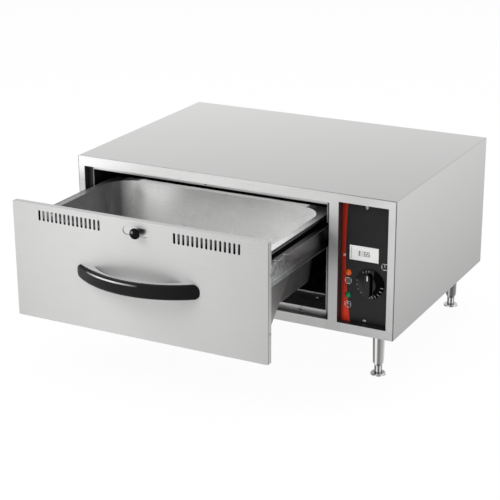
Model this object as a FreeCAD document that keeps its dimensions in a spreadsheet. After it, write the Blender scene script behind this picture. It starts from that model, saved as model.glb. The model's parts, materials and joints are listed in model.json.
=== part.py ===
import FreeCAD, Part
import os
import re
import Sketcher

# Countertop warming drawer: a stainless cabinet with one heated drawer for a full-size gastronorm pan
# and a control bay on its right. X runs across from the cabinet's centre, Y back, Z up from the
# counter. Sizes and shapes are worked out from the plane of the face frame's front, and every
# sub-part's Placement then moves them all so that the origin is under the middle of the whole.

Vector = FreeCAD.Vector
doc = FreeCAD.newDocument("WarmingDrawer")
sizes = doc.addObject("Spreadsheet::Sheet", "Sizes")
places = doc.addObject("Spreadsheet::Sheet", "Places")
OWNER = {}
SUBPARTS = []


def put(sheet, name, content):
    """Write a named cell."""
    row = sum(1 for owner in OWNER.values() if owner == sheet.Name) + 1
    sheet.set(f"A{row}", name)
    sheet.set(f"B{row}", content)
    sheet.setAlias(f"B{row}", name)
    OWNER[name] = sheet.Name


def tie(text):
    """Point each size named in an expression at its cell."""
    def cell(found):
        word = found.group(0)
        return f"{OWNER[word]}.{word}" if word in OWNER else word
    return re.sub(r"[a-z][a-z_]*", cell, str(text))


def size(**values):
    """Driving dimensions in millimetres, degrees or counts."""
    for name, value in values.items():
        put(sizes, name, str(value))


def place(**formulas):
    """Sizes and places that follow from the driving dimensions."""
    for name, formula in formulas.items():
        put(places, name, "=" + tie(formula))


def value(text):
    """The number that an expression stands for."""
    return float(sizes.evalExpression(tie(text)))


# ---------------------------------------------------------------- driving dimensions
# cabinet and face frame
size(cabinet_width=740, cabinet_depth=530, cabinet_height=294, leg_height=100)
size(skin=1, seam=1.4, bend=2, frame_return=15, recess=17)
size(stile=15.3, stile_right=15.9, mullion=20.4, bay_width=107.4)
size(window_base=21.3, window_header=22.2, bay_base=19.8, bay_header=17)
size(ring_lip=12.2, ring_lip_top=9.8, ring_margin=8, notch_air=2.5)
size(liner_inset=1, rear_space=30, wool_air=0.5, tray_flange=12)
# drawer
size(drawer_gap=2.3, front_thick=13, drawer_open=264, front_corner=1.5)
size(fit=0.2, tray_depth=10, shift_of_fittings=1.8)
size(vent_count=15, vent_pitch=10, vent_wide=5, vent_tall=22, vent_drop=22.5, vent_spread=155.5)
size(shutter_thick=1, shutter_air=0.3, shutter_tall=28, shutter_overhang=8, guide_sheet=1, guide_foot=5,
     guide_lip=2.4, guide_extra=6)
size(knob_slot_long=60, knob_slot_tall=17, vent_knob_shift=4, vent_stem=4, vent_knob=11,
     vent_knob_dome=2, vent_knob_proud=16, vent_knob_rear=7, vent_knob_air=1)
size(handle_span=280, handle_inner=186, handle_reach=50, handle_clear=33, handle_tall=30, handle_base=130)
size(handle_end=14, handle_round=6, handle_round_inner=6)
size(handle_screw=2.4, handle_screw_room=3.2, handle_screw_long=10)
# slides
size(rail_room=15, rail_sheet=1.5, rail_air=2, rail_base=176, rail_rise=45, rail_long=470)
size(track_start=25, track_end=5, roller_wide=9, roller_air=0.3, axle=4, axle_fit=0.05, axle_collar=6.5)
size(roller_inset=22, roller_chamfer=1, flange_start=25, collar_air=0.1, axle_head=0.9)
# pan and its support
size(pan_wide=530, pan_deep=325, pan_height=150, pan_rim=14, pan_wall=1, rim_height=231, rim_drop=4)
size(pan_rim_corner=20, pan_corner=58, pan_foot_corner=46, pan_draft=14, pan_floor_round=16)
size(pan_front_gap=12, support_sheet=1.2, support_air=2, support_lip=3, support_foot=178.2, bar_lip=20,
     support_overrun=4)
size(gusset_sheet=1.5, gusset_top=120, gusset_flange=20, gusset_foot=14, gusset_knee=76, gusset_round=40)
# control bay
size(panel_thick=1.5, panel_margin=6, dial_inset=64.3, dial_height=108, dial=31, dial_skirt=7,
     dial_proud=15.5, dial_bore=11, dial_air=0.4, dial_edge=2, dial_slope=4)
size(grip_wide=14, grip_long=50, grip_round=2, shaft=3, shaft_fit=0.05, can=20, can_long=27, can_bore=16,
     can_neck=9, can_step=2, can_lug_half=25)
size(lamp_inset=16.7, lamp_gap=48.7, lamp_low=76.7, lamp=7, lamp_neck=5.5, lamp_body=8,
     lamp_dome=5, lamp_step=2, lamp_deep=24)
size(meter_inset=50.8, meter_height=170.2, meter_wide=63, meter_tall=30.5, meter_proud=2.5)
size(meter_glass_wide=26.4, meter_glass_tall=12, meter_glass_thick=1.5, meter_round=0.6)
size(meter_case_half=20, meter_case_tall=22, meter_case_deep=24, meter_lug=4)
size(panel_screw_inset=53.8, panel_screw_rise=5.5, panel_screw_drop=8.6)
# heat
size(element=4, element_height=34, element_pitch=120, element_back=420, element_reach=220, element_tail=30)
size(bracket_wide=12, bracket_margin=15)
size(cover_front=71, cover_back=470, cover_height=46, cover_half=265)
size(louvre_margin=45, louvre_long=75, louvre_gap=42, louvre_wide=6, louvre_pitch=35, louvre_count=13)
size(clip_wide=8, bulb=3, bulb_long=90, bulb_start=100, bulb_air=6, capillary=1, capillary_bend=25)
# legs and feet
size(leg_inset=50, leg_top=13.2, leg_foot=11.5, leg_flange=20, leg_flange_thick=3, leg_tip=20, leg_cone=7)
size(stud_out=10, nut_half=9, nut_tall=8)
size(neck=8, foot=16, foot_thick=4, stud=5, stud_fit=0.05, stud_long=34, stud_hole=36, foot_slope=2,
     foot_air=0.3)
# cord gland and fasteners
size(gland_height=52, gland_bore=4.5, gland_thread=8, gland_flange=12, gland_proud=14,
     gland_nut_thick=5, gland_long=12, gland_cap=10, gland_flange_thick=5)
size(terminal_half=30, terminal_y=400, terminal_deep=22, terminal_tall=18, terminal_pitch=12)
size(terminal_entry=3, air_slot_shift=8, air_slot_long=66, air_slot_wide=5, air_slot_pitch=14)
size(air_slot_count=8, air_slot_start=180, air_slot_rise=80)
size(screw=2, screw_head=4, screw_head_tall=1.6, screw_long=6, hole_air=0.1)
size(side_screw_rise=60.4, side_screw_drop=65.5, screw_side_head=1.2, screw_side_long=4)
size(ring_screw_half=222, cover_screw_half=234, cover_screw_drop=14, screw_short=2)
size(rivet=3, rivet_start=27, rivet_pitch=39)

# ---------------------------------------------------------------- places worked out from them
place(half_width="cabinet_width / 2", top="leg_height + cabinet_height")
place(inside_top="top - skin", base="leg_height + skin", floor_top="base + skin")
place(window_left="stile - half_width", window_right="half_width - stile_right - bay_width - mullion")
place(window_width="window_right - window_left")
place(window_low="leg_height + window_base", window_high="top - window_header")
place(bay_left="window_right + mullion", bay_right="half_width - stile_right")
place(bay_low="leg_height + bay_base", bay_high="top - bay_header")
place(dial_x="bay_left + dial_inset", lamp_x="bay_left + lamp_inset", meter_x="bay_left + meter_inset")
place(panel_screw_x="bay_left + panel_screw_inset", gland_x="dial_x", air_slot_x="dial_x - air_slot_shift")
place(partition="window_right + mullion / 2")
place(drawer_mid="(window_left + window_right) / 2", fittings_mid="drawer_mid + shift_of_fittings")
place(liner_half="window_width / 2 - liner_inset", liner_back="cabinet_depth - rear_space")
place(front_half="window_width / 2 - drawer_gap")
place(front_low="window_low + drawer_gap", front_high="window_high - drawer_gap")
place(front_face="-drawer_open", front_back="front_thick - drawer_open", front_inside="skin - drawer_open")
place(side_screw_y="front_back - tray_depth / 2")
place(vent_level="front_high - vent_drop", handle_z="leg_height + handle_base + handle_tall / 2")
place(vent_knob_front="front_face - vent_knob_proud", vent_knob_back="front_face - vent_knob_rear")
place(shutter_reach="vent_spread + vent_pitch * vent_count / 2 + shutter_overhang")
place(guide_reach="shutter_reach + guide_extra")
place(shutter_front="front_inside + shutter_air", shutter_back="shutter_front + shutter_thick")
place(web_half="liner_half - rail_room", rail_low="leg_height + rail_base", rail_high="rail_low + rail_rise")
place(rail_flange_half="liner_half - rail_sheet - rail_air")
place(track_flange_half="web_half + rail_sheet + rail_air")
place(track_low="rail_low + rail_sheet + rail_air", track_high="rail_high - rail_sheet - rail_air")
place(rail_end="front_back + rail_long", rail_level="(rail_low + rail_high) / 2")
place(front_roller="rail_rise / 2 - rail_sheet - roller_air", front_roller_y="track_start + roller_inset")
place(rear_roller="(track_high - track_low) / 2 - rail_sheet - roller_air")
place(rear_roller_y="rail_end - roller_inset")
place(roller_half="(web_half + liner_half) / 2")
place(rim_top="leg_height + rim_height", rim_under="rim_top - pan_wall", seat="rim_top - rim_drop")
place(pan_front="front_back + pan_front_gap", pan_back="pan_front + pan_deep")
place(pan_mid="(pan_front + pan_back) / 2", pan_base="rim_top - pan_height")
place(pan_mouth_half="pan_wide / 2 - pan_rim", pan_mouth_deep_half="pan_deep / 2 - pan_rim")
place(support_web="pan_mouth_half + support_air", support_edge="pan_wide / 2 + support_lip")
place(support_low="leg_height + support_foot - support_sheet", gusset_bend="leg_height + gusset_knee")
place(bar_web="pan_mid + pan_mouth_deep_half + support_air")
place(support_end="bar_web + bar_lip + support_overrun")
place(panel_back="recess + panel_thick", dial_z="leg_height + dial_height")
place(lamp_z="leg_height + lamp_low", meter_z="leg_height + meter_height")
place(element_z="leg_height + element_height", cover_top="leg_height + cover_height")
place(gland_z="leg_height + gland_height", bulb_y="liner_back - bulb_air")
place(leg_x="half_width - leg_inset", leg_back="cabinet_depth - leg_inset")
place(middle="(cabinet_depth + gland_proud - drawer_open - handle_reach) / 2")
doc.recompute()

# ---------------------------------------------------------------- ways of making things


def new_body(label):
    """An empty sub-part whose Placement puts the whole model over its origin."""
    body = doc.addObject("PartDesign::Body", label)
    body.Label = label
    body.setExpression("Placement.Base.y", tie("-middle"))
    SUBPARTS.append(body)
    return body


def origin_plane(body, plane):
    """The XY, XZ or YZ plane of a body's own origin."""
    return next(item for item in body.Origin.OriginFeatures if item.Role == plane + "_Plane")


def new_sketch(body, plane, at="0", across="0", up="0"):
    """A sketch on a plane set off by at along Z, Y or X, with its own origin moved across and up."""
    sketch = body.newObject("Sketcher::SketchObject", "Sketch")
    sketch.AttachmentSupport = [(origin_plane(body, plane), "")]
    sketch.MapMode = "FlatFace"
    away = f"-({at})" if plane == "XZ" else at
    sketch.setExpression("AttachmentOffset.Base.x", tie(across))
    sketch.setExpression("AttachmentOffset.Base.y", tie(up))
    sketch.setExpression("AttachmentOffset.Base.z", tie(away))
    return sketch


def hold(sketch, item, point, x, y):
    """Fix a point of a sketch by two expressions."""
    for kind, text in (("DistanceX", x), ("DistanceY", y)):
        number = sketch.addConstraint(Sketcher.Constraint(kind, -1, 1, item, point, value(text)))
        sketch.setExpression(f"Constraints[{number}]", tie(text))


def hold_radius(sketch, item, radius):
    """Fix the radius of a circle or arc by an expression."""
    number = sketch.addConstraint(Sketcher.Constraint("Radius", item, value(radius)))
    sketch.setExpression(f"Constraints[{number}]", tie(radius))


def outline(sketch, points):
    """A closed outline of straight lines through the points given."""
    spots = [Vector(value(x), value(y), 0) for x, y in points]
    lines = []
    for start, end in zip(spots, spots[1:] + spots[:1]):
        lines.append(sketch.addGeometry(Part.LineSegment(start, end)))
    for line, following in zip(lines, lines[1:] + lines[:1]):
        sketch.addConstraint(Sketcher.Constraint("Coincident", line, 2, following, 1))
    for line, (x, y) in zip(lines, points):
        hold(sketch, line, 1, x, y)


def rectangle(sketch, left, right, low, high):
    """A rectangle between two pairs of limits."""
    outline(sketch, [(left, low), (right, low), (right, high), (left, high)])


def circle(sketch, x, y, radius):
    """A circle about a point."""
    spot = Vector(value(x), value(y), 0)
    item = sketch.addGeometry(Part.Circle(spot, Vector(0, 0, 1), value(radius)))
    hold(sketch, item, 3, x, y)
    hold_radius(sketch, item, radius)


def rounded(sketch, corners, radius):
    """A closed outline whose corner arcs have the centres given, counter-clockwise."""
    spots = [Vector(value(x), value(y), 0) for x, y in corners]
    reach = value(radius)
    axis = Vector(0, 0, 1)
    count = len(spots)
    sides = [(spots[(i + 1) % count] - spots[i]).normalize() for i in range(count)]
    normals = [side.cross(axis) for side in sides]
    arcs = []
    lines = []
    for i, spot in enumerate(spots):
        before = normals[i - 1]
        after = normals[i]
        middle = before + after
        middle = middle.normalize() if middle.Length > 1e-6 else sides[i - 1]
        ends = [spot + turn * reach for turn in (before, middle, after)]
        arcs.append(sketch.addGeometry(Part.Arc(*ends)))
        finish = spots[(i + 1) % count] + after * reach
        lines.append(sketch.addGeometry(Part.LineSegment(ends[2], finish)))
    for i in range(count):
        sketch.addConstraint(Sketcher.Constraint("Tangent", arcs[i], 2, lines[i], 1))
        sketch.addConstraint(Sketcher.Constraint("Tangent", lines[i], 2, arcs[(i + 1) % count], 1))
        hold(sketch, arcs[i], 3, *corners[i])
        hold_radius(sketch, arcs[i], radius)


def rounded_rectangle(sketch, left, right, low, high, radius):
    """A rectangle with rounded corners."""
    x_low, x_high = f"{left} + {radius}", f"{right} - {radius}"
    y_low, y_high = f"{low} + {radius}", f"{high} - {radius}"
    rounded(sketch, [(x_low, y_low), (x_high, y_low), (x_high, y_high), (x_low, y_high)], radius)


def level_slot(sketch, x, y, length, width):
    """A slot with round ends along the sketch's first axis."""
    reach = f"(({length}) - ({width})) / 2"
    rounded(sketch, [(f"{x} - {reach}", y), (f"{x} + {reach}", y)], f"({width}) / 2")


def upright_slot(sketch, x, y, length, width):
    """A slot with round ends along the sketch's second axis."""
    reach = f"(({length}) - ({width})) / 2"
    rounded(sketch, [(x, f"{y} - {reach}"), (x, f"{y} + {reach}")], f"({width}) / 2")


def hexagon(body, plane, at, x, y, corner, bore, length):
    """A hexagon nut whose corners lie at the radius given."""
    sketch = new_sketch(body, plane, at, x, y)
    turns = ((1, 0), (0.5, 1), (-0.5, 1), (-1, 0), (-0.5, -1), (0.5, -1))
    outline(sketch, [(f"{level} * {corner}", f"{rise} * {corner} * sqrt(3) / 2") for level, rise in turns])
    circle(sketch, "0", "0", bore)
    return pad(sketch, length)


def faces_minus_y(sketch):
    """Whether a sketch lies on the XZ plane, whose normal points along -Y."""
    return sketch.AttachmentSupport[0][0].Role == "XZ_Plane"


def body_of(sketch):
    """The body that holds a sketch."""
    return sketch.getParentGeoFeatureGroup()


def pad(sketch, length, backwards=False):
    """Material from a sketch towards plus Z, Y or X, or the other way."""
    feature = body_of(sketch).newObject("PartDesign::Pad", "Pad")
    feature.Profile = sketch
    feature.setExpression("Length", tie(length))
    feature.Reversed = faces_minus_y(sketch) != backwards
    return feature


def pocket(sketch, length, backwards=False):
    """A cut from a sketch towards plus Z, Y or X, or the other way."""
    feature = body_of(sketch).newObject("PartDesign::Pocket", "Pocket")
    feature.Profile = sketch
    feature.setExpression("Length", tie(length))
    feature.Reversed = faces_minus_y(sketch) == backwards
    return feature


def revolve(sketch, axis="V_Axis", turn=360):
    """Material from turning a sketch about its own upright or level axis."""
    feature = body_of(sketch).newObject("PartDesign::Revolution", "Revolution")
    feature.Profile = sketch
    feature.ReferenceAxis = (sketch, [axis])
    feature.Angle = turn
    return feature


def tube(body, section, route):
    """A section drawn along a route of lines and arcs."""
    pipe = body.newObject("PartDesign::AdditivePipe", "Pipe")
    pipe.Profile = section
    doc.recompute()
    pipe.Spine = (route, [f"Edge{i}" for i in range(1, len(route.Shape.Edges) + 1)])


def repeat(feature, axis, spacing, count, backwards=False):
    """Copies of a feature in a row along an axis of its sketch."""
    body = body_of(feature)
    row = body.newObject("PartDesign::LinearPattern", "Row")
    row.Originals = [feature]
    row.Direction = (feature.Profile[0], [axis])
    row.Reversed = backwards
    row.setExpression("Length", tie(f"({spacing}) * ({count} - 1)"))
    row.setExpression("Occurrences", tie(count))
    body.Tip = row
    return row


def soften(body, radius, chosen, kind="Fillet"):
    """Round or chamfer the edges of a body's last shape that a test picks."""
    doc.recompute()
    base = body.Tip
    names = [f"Edge{i}" for i, edge in enumerate(base.Shape.Edges, 1) if chosen(edge)]
    if not names:
        raise RuntimeError(f"no edge to soften on {body.Label}")
    feature = body.newObject("PartDesign::" + kind, kind)
    feature.Base = (base, names)
    feature.setExpression("Radius" if kind == "Fillet" else "Size", tie(radius))
    return feature


def near(number, text, slack=0.01):
    """Whether a number is that of an expression."""
    return abs(number - value(text)) < slack


def flat_at(edge, axis, text):
    """Whether an edge lies wholly at one place along X, Y or Z."""
    box = edge.BoundBox
    low, high = {"x": (box.XMin, box.XMax), "y": (box.YMin, box.YMax), "z": (box.ZMin, box.ZMax)}[axis]
    return near(low, text) and near(high, text)


def runs_along(edge, axis):
    """Whether an edge is a straight one along X, Y or Z."""
    box = edge.BoundBox
    spans = {"x": box.XLength, "y": box.YLength, "z": box.ZLength}
    length = spans.pop(axis)
    return length > 0.01 and max(spans.values()) < 0.01


SIDES = {"left": "-", "right": "+"}


def across(side, text):
    """A place to the left or right of the drawer's middle, as far as the expression says."""
    return f"drawer_mid {SIDES[side]} ({text})"


ELEMENT_ROWS = ("element_back", "element_back - element_pitch")


def wall_ports(sketch, clearance):
    """Holes for the element's two ends and the sensor's capillary."""
    for row in ELEMENT_ROWS:
        circle(sketch, row, "element_z", f"element + {clearance}")
    circle(sketch, "bulb_y", "dial_z", f"capillary + {clearance}")


def add_screws(body, plane, spots, seat, shank, head_out, head="screw_head", tall="screw_head_tall",
               thread="screw"):
    """Screws in one plane: round heads on the seat and shanks the other way."""
    heads = new_sketch(body, plane, seat)
    shanks = new_sketch(body, plane, seat)
    for x, y in spots:
        circle(heads, x, y, head)
        circle(shanks, x, y, thread)
    pad(heads, tall, backwards=head_out == "-")
    pad(shanks, shank, backwards=head_out == "+")


# ---------------------------------------------------------------- cabinet shell


REAR_SCREWS = [(f"{sign}(half_width - tray_flange / 2)", z) for sign in ("-", "")
               for z in ("base + leg_flange", "top - leg_flange")]
RING_SCREWS = [(across(side, "ring_screw_half"), "window_low + ring_lip / 2") for side in SIDES]
RING_SCREWS.append(("drawer_mid", "window_high - ring_lip_top / 2"))
COVER_SCREWS = [(across(side, "cover_screw_half"), "cover_top - cover_screw_drop") for side in SIDES]


def make_outer_casing():
    """Top and sides folded from one sheet, with small flanges turned in under the sides."""
    body = new_body("outer_casing")
    section = new_sketch(body, "XZ", "skin + seam")
    inner = "(half_width - skin)"
    flange = "(half_width - tray_flange)"
    outline(section, [
        ("-half_width", "leg_height"), (f"-{flange}", "leg_height"), (f"-{flange}", "base"),
        (f"-{inner}", "base"), (f"-{inner}", "inside_top"), (inner, "inside_top"), (inner, "base"),
        (flange, "base"), (flange, "leg_height"), ("half_width", "leg_height"), ("half_width", "top"),
        ("-half_width", "top")])
    pad(section, "cabinet_depth - skin - seam")
    soften(body, "bend", lambda edge: runs_along(edge, "y") and flat_at(edge, "z", "top"))


def make_face_frame():
    """Front plate with a window for the drawer and one for the controls, each with folded returns."""
    body = new_body("face_frame")
    plate = new_sketch(body, "XZ")
    rectangle(plate, "-half_width", "half_width", "leg_height", "top")
    rectangle(plate, "window_left", "window_right", "window_low", "window_high")
    rectangle(plate, "bay_left", "bay_right", "bay_low", "bay_high")
    pad(plate, "skin")
    for left, right, low, high in (("window_left", "window_right", "window_low", "window_high"),
                                   ("bay_left", "bay_right", "bay_low", "bay_high")):
        window = new_sketch(body, "XZ")
        rectangle(window, f"{left} - skin", f"{right} + skin", f"{low} - skin", f"{high} + skin")
        rectangle(window, left, right, low, high)
        pad(window, "recess")
    rim = new_sketch(body, "XZ")
    rectangle(rim, "skin - half_width", "half_width - skin", "base", "inside_top")
    rectangle(rim, "2 * skin - half_width", "half_width - 2 * skin", "base + skin", "inside_top - skin")
    pad(rim, "frame_return")


def make_base_pan():
    """Bottom tray with upturned flanges, leg holes and air slots under the control bay."""
    body = new_body("base_pan")
    blank = new_sketch(body, "XY", "base")
    rectangle(blank, "skin - half_width", "half_width - skin", "frame_return + skin", "cabinet_depth - skin")
    pad(blank, "tray_flange")
    hollow = new_sketch(body, "XY", "floor_top")
    rectangle(hollow, "2 * skin - half_width", "half_width - 2 * skin", "frame_return + 2 * skin",
              "cabinet_depth - 2 * skin")
    pocket(hollow, "tray_flange")
    holes = new_sketch(body, "XY", "base - skin")
    for x in ("-leg_x", "leg_x"):
        for y in ("leg_inset", "leg_back"):
            circle(holes, x, y, "stud + hole_air")
    pocket(holes, "3 * skin")
    slot = new_sketch(body, "XY", "base - skin")
    rectangle(slot, "air_slot_x - air_slot_long / 2", "air_slot_x + air_slot_long / 2",
              "air_slot_start", "air_slot_start + air_slot_wide")
    repeat(pocket(slot, "3 * skin"), "V_Axis", "air_slot_pitch", "air_slot_count")


def make_rear_panel():
    """Flat back panel with the gland hole and cooling slots behind the control bay."""
    body = new_body("rear_panel")
    plate = new_sketch(body, "XZ", "cabinet_depth - skin")
    rectangle(plate, "skin - half_width", "half_width - skin", "base", "inside_top")
    circle(plate, "gland_x", "gland_z", "gland_thread + hole_air")
    for x, z in REAR_SCREWS:
        circle(plate, x, z, "screw + hole_air")
    pad(plate, "skin")
    slot = new_sketch(body, "XZ", "cabinet_depth - 2 * skin")
    level_slot(slot, "air_slot_x", "gland_z + air_slot_rise", "air_slot_long", "air_slot_wide")
    repeat(pocket(slot, "3 * skin"), "V_Axis", "air_slot_pitch", "air_slot_count")


def make_cavity_ring():
    """Flange frame just behind the drawer window, notched where the slides pass."""
    body = new_body("cavity_ring")
    plate = new_sketch(body, "XZ", "recess")
    rectangle(plate, "window_left - ring_margin", "window_right + ring_margin",
              "window_low - ring_margin", "window_high + ring_margin")
    notch = "liner_half - notch_air / 2"
    lip = "window_width / 2 - ring_lip"
    low, high = "window_low + ring_lip", "window_high - ring_lip_top"
    notch_low, notch_high = "rail_low - notch_air", "rail_high + notch_air"
    left_lip, right_lip = across("left", lip), across("right", lip)
    left_notch, right_notch = across("left", notch), across("right", notch)
    outline(plate, [
        (left_lip, low), (right_lip, low), (right_lip, notch_low), (right_notch, notch_low),
        (right_notch, notch_high), (right_lip, notch_high), (right_lip, high), (left_lip, high),
        (left_lip, notch_high), (left_notch, notch_high), (left_notch, notch_low), (left_lip, notch_low)])
    for x, z in RING_SCREWS:
        circle(plate, x, z, "screw + hole_air")
    pad(plate, "skin")


def make_cavity_liner():
    """Five-sided heated box behind the ring, with holes for the element and the sensor."""
    body = new_body("cavity_liner")
    block = new_sketch(body, "XZ", "recess + skin")
    outer = "liner_half + skin"
    rectangle(block, across("left", outer), across("right", outer), "window_low - skin", "window_high + skin")
    pad(block, "liner_back - recess")
    room = new_sketch(body, "XZ", "recess + skin")
    rectangle(room, across("left", "liner_half"), across("right", "liner_half"), "window_low", "window_high")
    pocket(room, "liner_back - recess - skin")
    ports = new_sketch(body, "YZ", across("right", "liner_half - skin"))
    wall_ports(ports, "fit")
    pocket(ports, "3 * skin")


def make_bay_partition():
    """Upright sheet between the heated cavity and the control bay, with a foot flange."""
    body = new_body("bay_partition")
    sheet = new_sketch(body, "YZ", "partition - skin / 2")
    rectangle(sheet, "frame_return + 2 * skin", "cabinet_depth - 2 * skin", "floor_top", "inside_top")
    wall_ports(sheet, "fit")
    pad(sheet, "skin")
    foot = new_sketch(body, "XY", "floor_top")
    rectangle(foot, "partition", "partition + tray_flange", "frame_return + 2 * tray_flange",
              "cabinet_depth - 2 * tray_flange")
    pad(foot, "skin")


def make_insulation_blanket():
    """Mineral wool wrapped round the cavity on five sides, hollowed over the leg nuts."""
    body = new_body("insulation_blanket")
    front = "(recess + 2 * skin + wool_air)"
    block = new_sketch(body, "XZ", front)
    rectangle(block, "2 * skin + wool_air - half_width", "partition - skin / 2 - wool_air",
              "floor_top + wool_air", "inside_top - wool_air")
    pad(block, f"cabinet_depth - 2 * skin - wool_air - {front}")
    room = new_sketch(body, "XZ", "recess + skin")
    outer = "liner_half + skin + wool_air"
    rectangle(room, across("left", outer), across("right", outer), "window_low - skin - wool_air",
              "window_high + skin + wool_air")
    pocket(room, "liner_back + skin + wool_air - recess - skin")
    nuts = new_sketch(body, "XY", "floor_top")
    for y in ("leg_inset", "leg_back"):
        circle(nuts, "-leg_x", y, "nut_half + skin")
    pocket(nuts, "tray_flange")
    ports = new_sketch(body, "YZ", across("right", "liner_half"))
    wall_ports(ports, "skin")
    pocket(ports, "2 * tray_flange")


# ---------------------------------------------------------------- heat


def make_heating_element():
    """Sheathed element laid out as one wide loop, its two ends out in the control bay."""
    body = new_body("heating_element")
    bend = across("left", "element_reach")
    for row in ELEMENT_ROWS:
        section = new_sketch(body, "YZ", bend)
        circle(section, row, "element_z", "element")
        pad(section, f"partition + element_tail - ({bend})")
    section = new_sketch(body, "YZ", bend, "element_back - element_pitch / 2", "0")
    circle(section, "element_pitch / 2", "element_z", "element")
    revolve(section, turn=180)


def make_element_brackets():
    """Two combs that stand on the cavity floor and cradle the element."""
    body = new_body("element_brackets")
    for side in SIDES:
        comb = new_sketch(body, "YZ", across(side, "element_reach / 2"))
        rectangle(comb, "element_back - element_pitch - bracket_margin", "element_back + bracket_margin",
                  "window_low", "element_z")
        pad(comb, "bracket_wide")
        for row in ELEMENT_ROWS:
            seat = new_sketch(body, "YZ", across(side, "element_reach / 2"))
            circle(seat, row, "element_z", "element + fit")
            pocket(seat, "bracket_wide")


def make_heater_cover():
    """Raised guard over the element with folded legs front and back and rows of slots."""
    body = new_body("heater_cover")
    section = new_sketch(body, "YZ", "drawer_mid - cover_half")
    outline(section, [
        ("cover_front", "window_low"), ("cover_front + skin", "window_low"),
        ("cover_front + skin", "cover_top - skin"), ("cover_back - skin", "cover_top - skin"),
        ("cover_back - skin", "window_low"), ("cover_back", "window_low"),
        ("cover_back", "cover_top"), ("cover_front", "cover_top")])
    pad(section, "2 * cover_half")
    soften(body, "skin / 2", lambda edge: runs_along(edge, "x") and flat_at(edge, "z", "cover_top"))
    holes = new_sketch(body, "XZ", "cover_front - skin")
    for x, z in COVER_SCREWS:
        circle(holes, x, z, "screw + hole_air")
    pocket(holes, "3 * skin")
    first = "drawer_mid - louvre_pitch * (louvre_count - 1) / 2"
    for row in range(3):
        slot = new_sketch(body, "XY", "cover_top - 2 * skin")
        start = f"cover_front + louvre_margin + {row} * (louvre_long + louvre_gap)"
        rectangle(slot, f"{first} - louvre_wide / 2", f"{first} + louvre_wide / 2",
                  start, f"{start} + louvre_long")
        repeat(pocket(slot, "4 * skin"), "H_Axis", "louvre_pitch", "louvre_count")


def make_sensor():
    """Thermostat bulb on the cavity's back wall with its capillary to the control bay, and its clips."""
    probe = new_body("sensor_probe")
    shape = new_sketch(probe, "YZ", across("right", "bulb_start"))
    circle(shape, "bulb_y", "dial_z", "bulb")
    pad(shape, "bulb_long")
    route = new_sketch(probe, "XY", "dial_z")
    begin = value(across("right", "bulb_start + bulb_long"))
    row = value("bulb_y")
    column = value("dial_x")
    turn = value("capillary_bend")
    half = turn * (1 - 0.5 ** 0.5)
    elbow = [Vector(column - turn, row, 0), Vector(column - half, row - half, 0),
             Vector(column, row - turn, 0)]
    route.addGeometry(Part.LineSegment(Vector(begin, row, 0), elbow[0]))
    route.addGeometry(Part.Arc(*elbow))
    route.addGeometry(Part.LineSegment(elbow[2], Vector(column, value("panel_back + can_long"), 0)))
    section = new_sketch(probe, "YZ", across("right", "bulb_start + bulb_long"))
    circle(section, "bulb_y", "dial_z", "capillary")
    tube(probe, section, route)
    clips = new_body("bulb_clips")
    clip = new_sketch(clips, "YZ", across("right", "bulb_start + clip_wide"))
    rectangle(clip, "bulb_y - bulb - 2 * skin", "liner_back", "dial_z - bulb - 2 * skin",
              "dial_z + bulb + 2 * skin")
    circle(clip, "bulb_y", "dial_z", "bulb + fit / 4")
    repeat(pad(clip, "clip_wide"), "N_Axis", "bulb_long - 3 * clip_wide", "2")


# ---------------------------------------------------------------- slides


def make_track(side):
    """Cabinet half of a roller slide: a channel on the cavity wall, open towards the drawer."""
    body = new_body(f"cabinet_track_{side}")
    wall = across(side, "liner_half")
    inner = across(side, "liner_half - rail_sheet")
    lip = across(side, "track_flange_half")
    section = new_sketch(body, "XZ", "front_roller_y + flange_start")
    outline(section, [
        (wall, "track_low"), (lip, "track_low"), (lip, "track_low + rail_sheet"),
        (inner, "track_low + rail_sheet"), (inner, "track_high - rail_sheet"),
        (lip, "track_high - rail_sheet"), (lip, "track_high"), (wall, "track_high")])
    pad(section, "liner_back - track_end - front_roller_y - flange_start")
    nose = new_sketch(body, "XZ", "track_start")
    low, high = sorted((wall, inner), key=value)
    rectangle(nose, low, high, "track_low", "track_high")
    pad(nose, "front_roller_y + flange_start - track_start")


def make_rail(side):
    """Drawer half of a roller slide: a larger channel that faces outwards and holds the pan support."""
    body = new_body(f"drawer_rail_{side}")
    web = across(side, "web_half")
    face = across(side, "web_half + rail_sheet")
    lip = across(side, "rail_flange_half")
    section = new_sketch(body, "XZ", "front_back")
    outline(section, [
        (web, "rail_low"), (lip, "rail_low"), (lip, "rail_low + rail_sheet"), (face, "rail_low + rail_sheet"),
        (face, "rail_high - rail_sheet"), (lip, "rail_high - rail_sheet"), (lip, "rail_high"),
        (web, "rail_high")])
    pad(section, "rail_long")


def make_roller(label, side, centre, radius):
    """Nylon wheel with chamfered edges, turning about X."""
    body = new_body(label)
    profile = new_sketch(body, "XY", "rail_level", across(side, "roller_half"), centre)
    half = "roller_wide / 2"
    outline(profile, [
        (f"-{half}", "axle + axle_fit"), (half, "axle + axle_fit"), (half, f"{radius} - roller_chamfer"),
        (f"{half} - roller_chamfer", radius), (f"roller_chamfer - {half}", radius),
        (f"-{half}", f"{radius} - roller_chamfer")])
    revolve(profile, "H_Axis")


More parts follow.
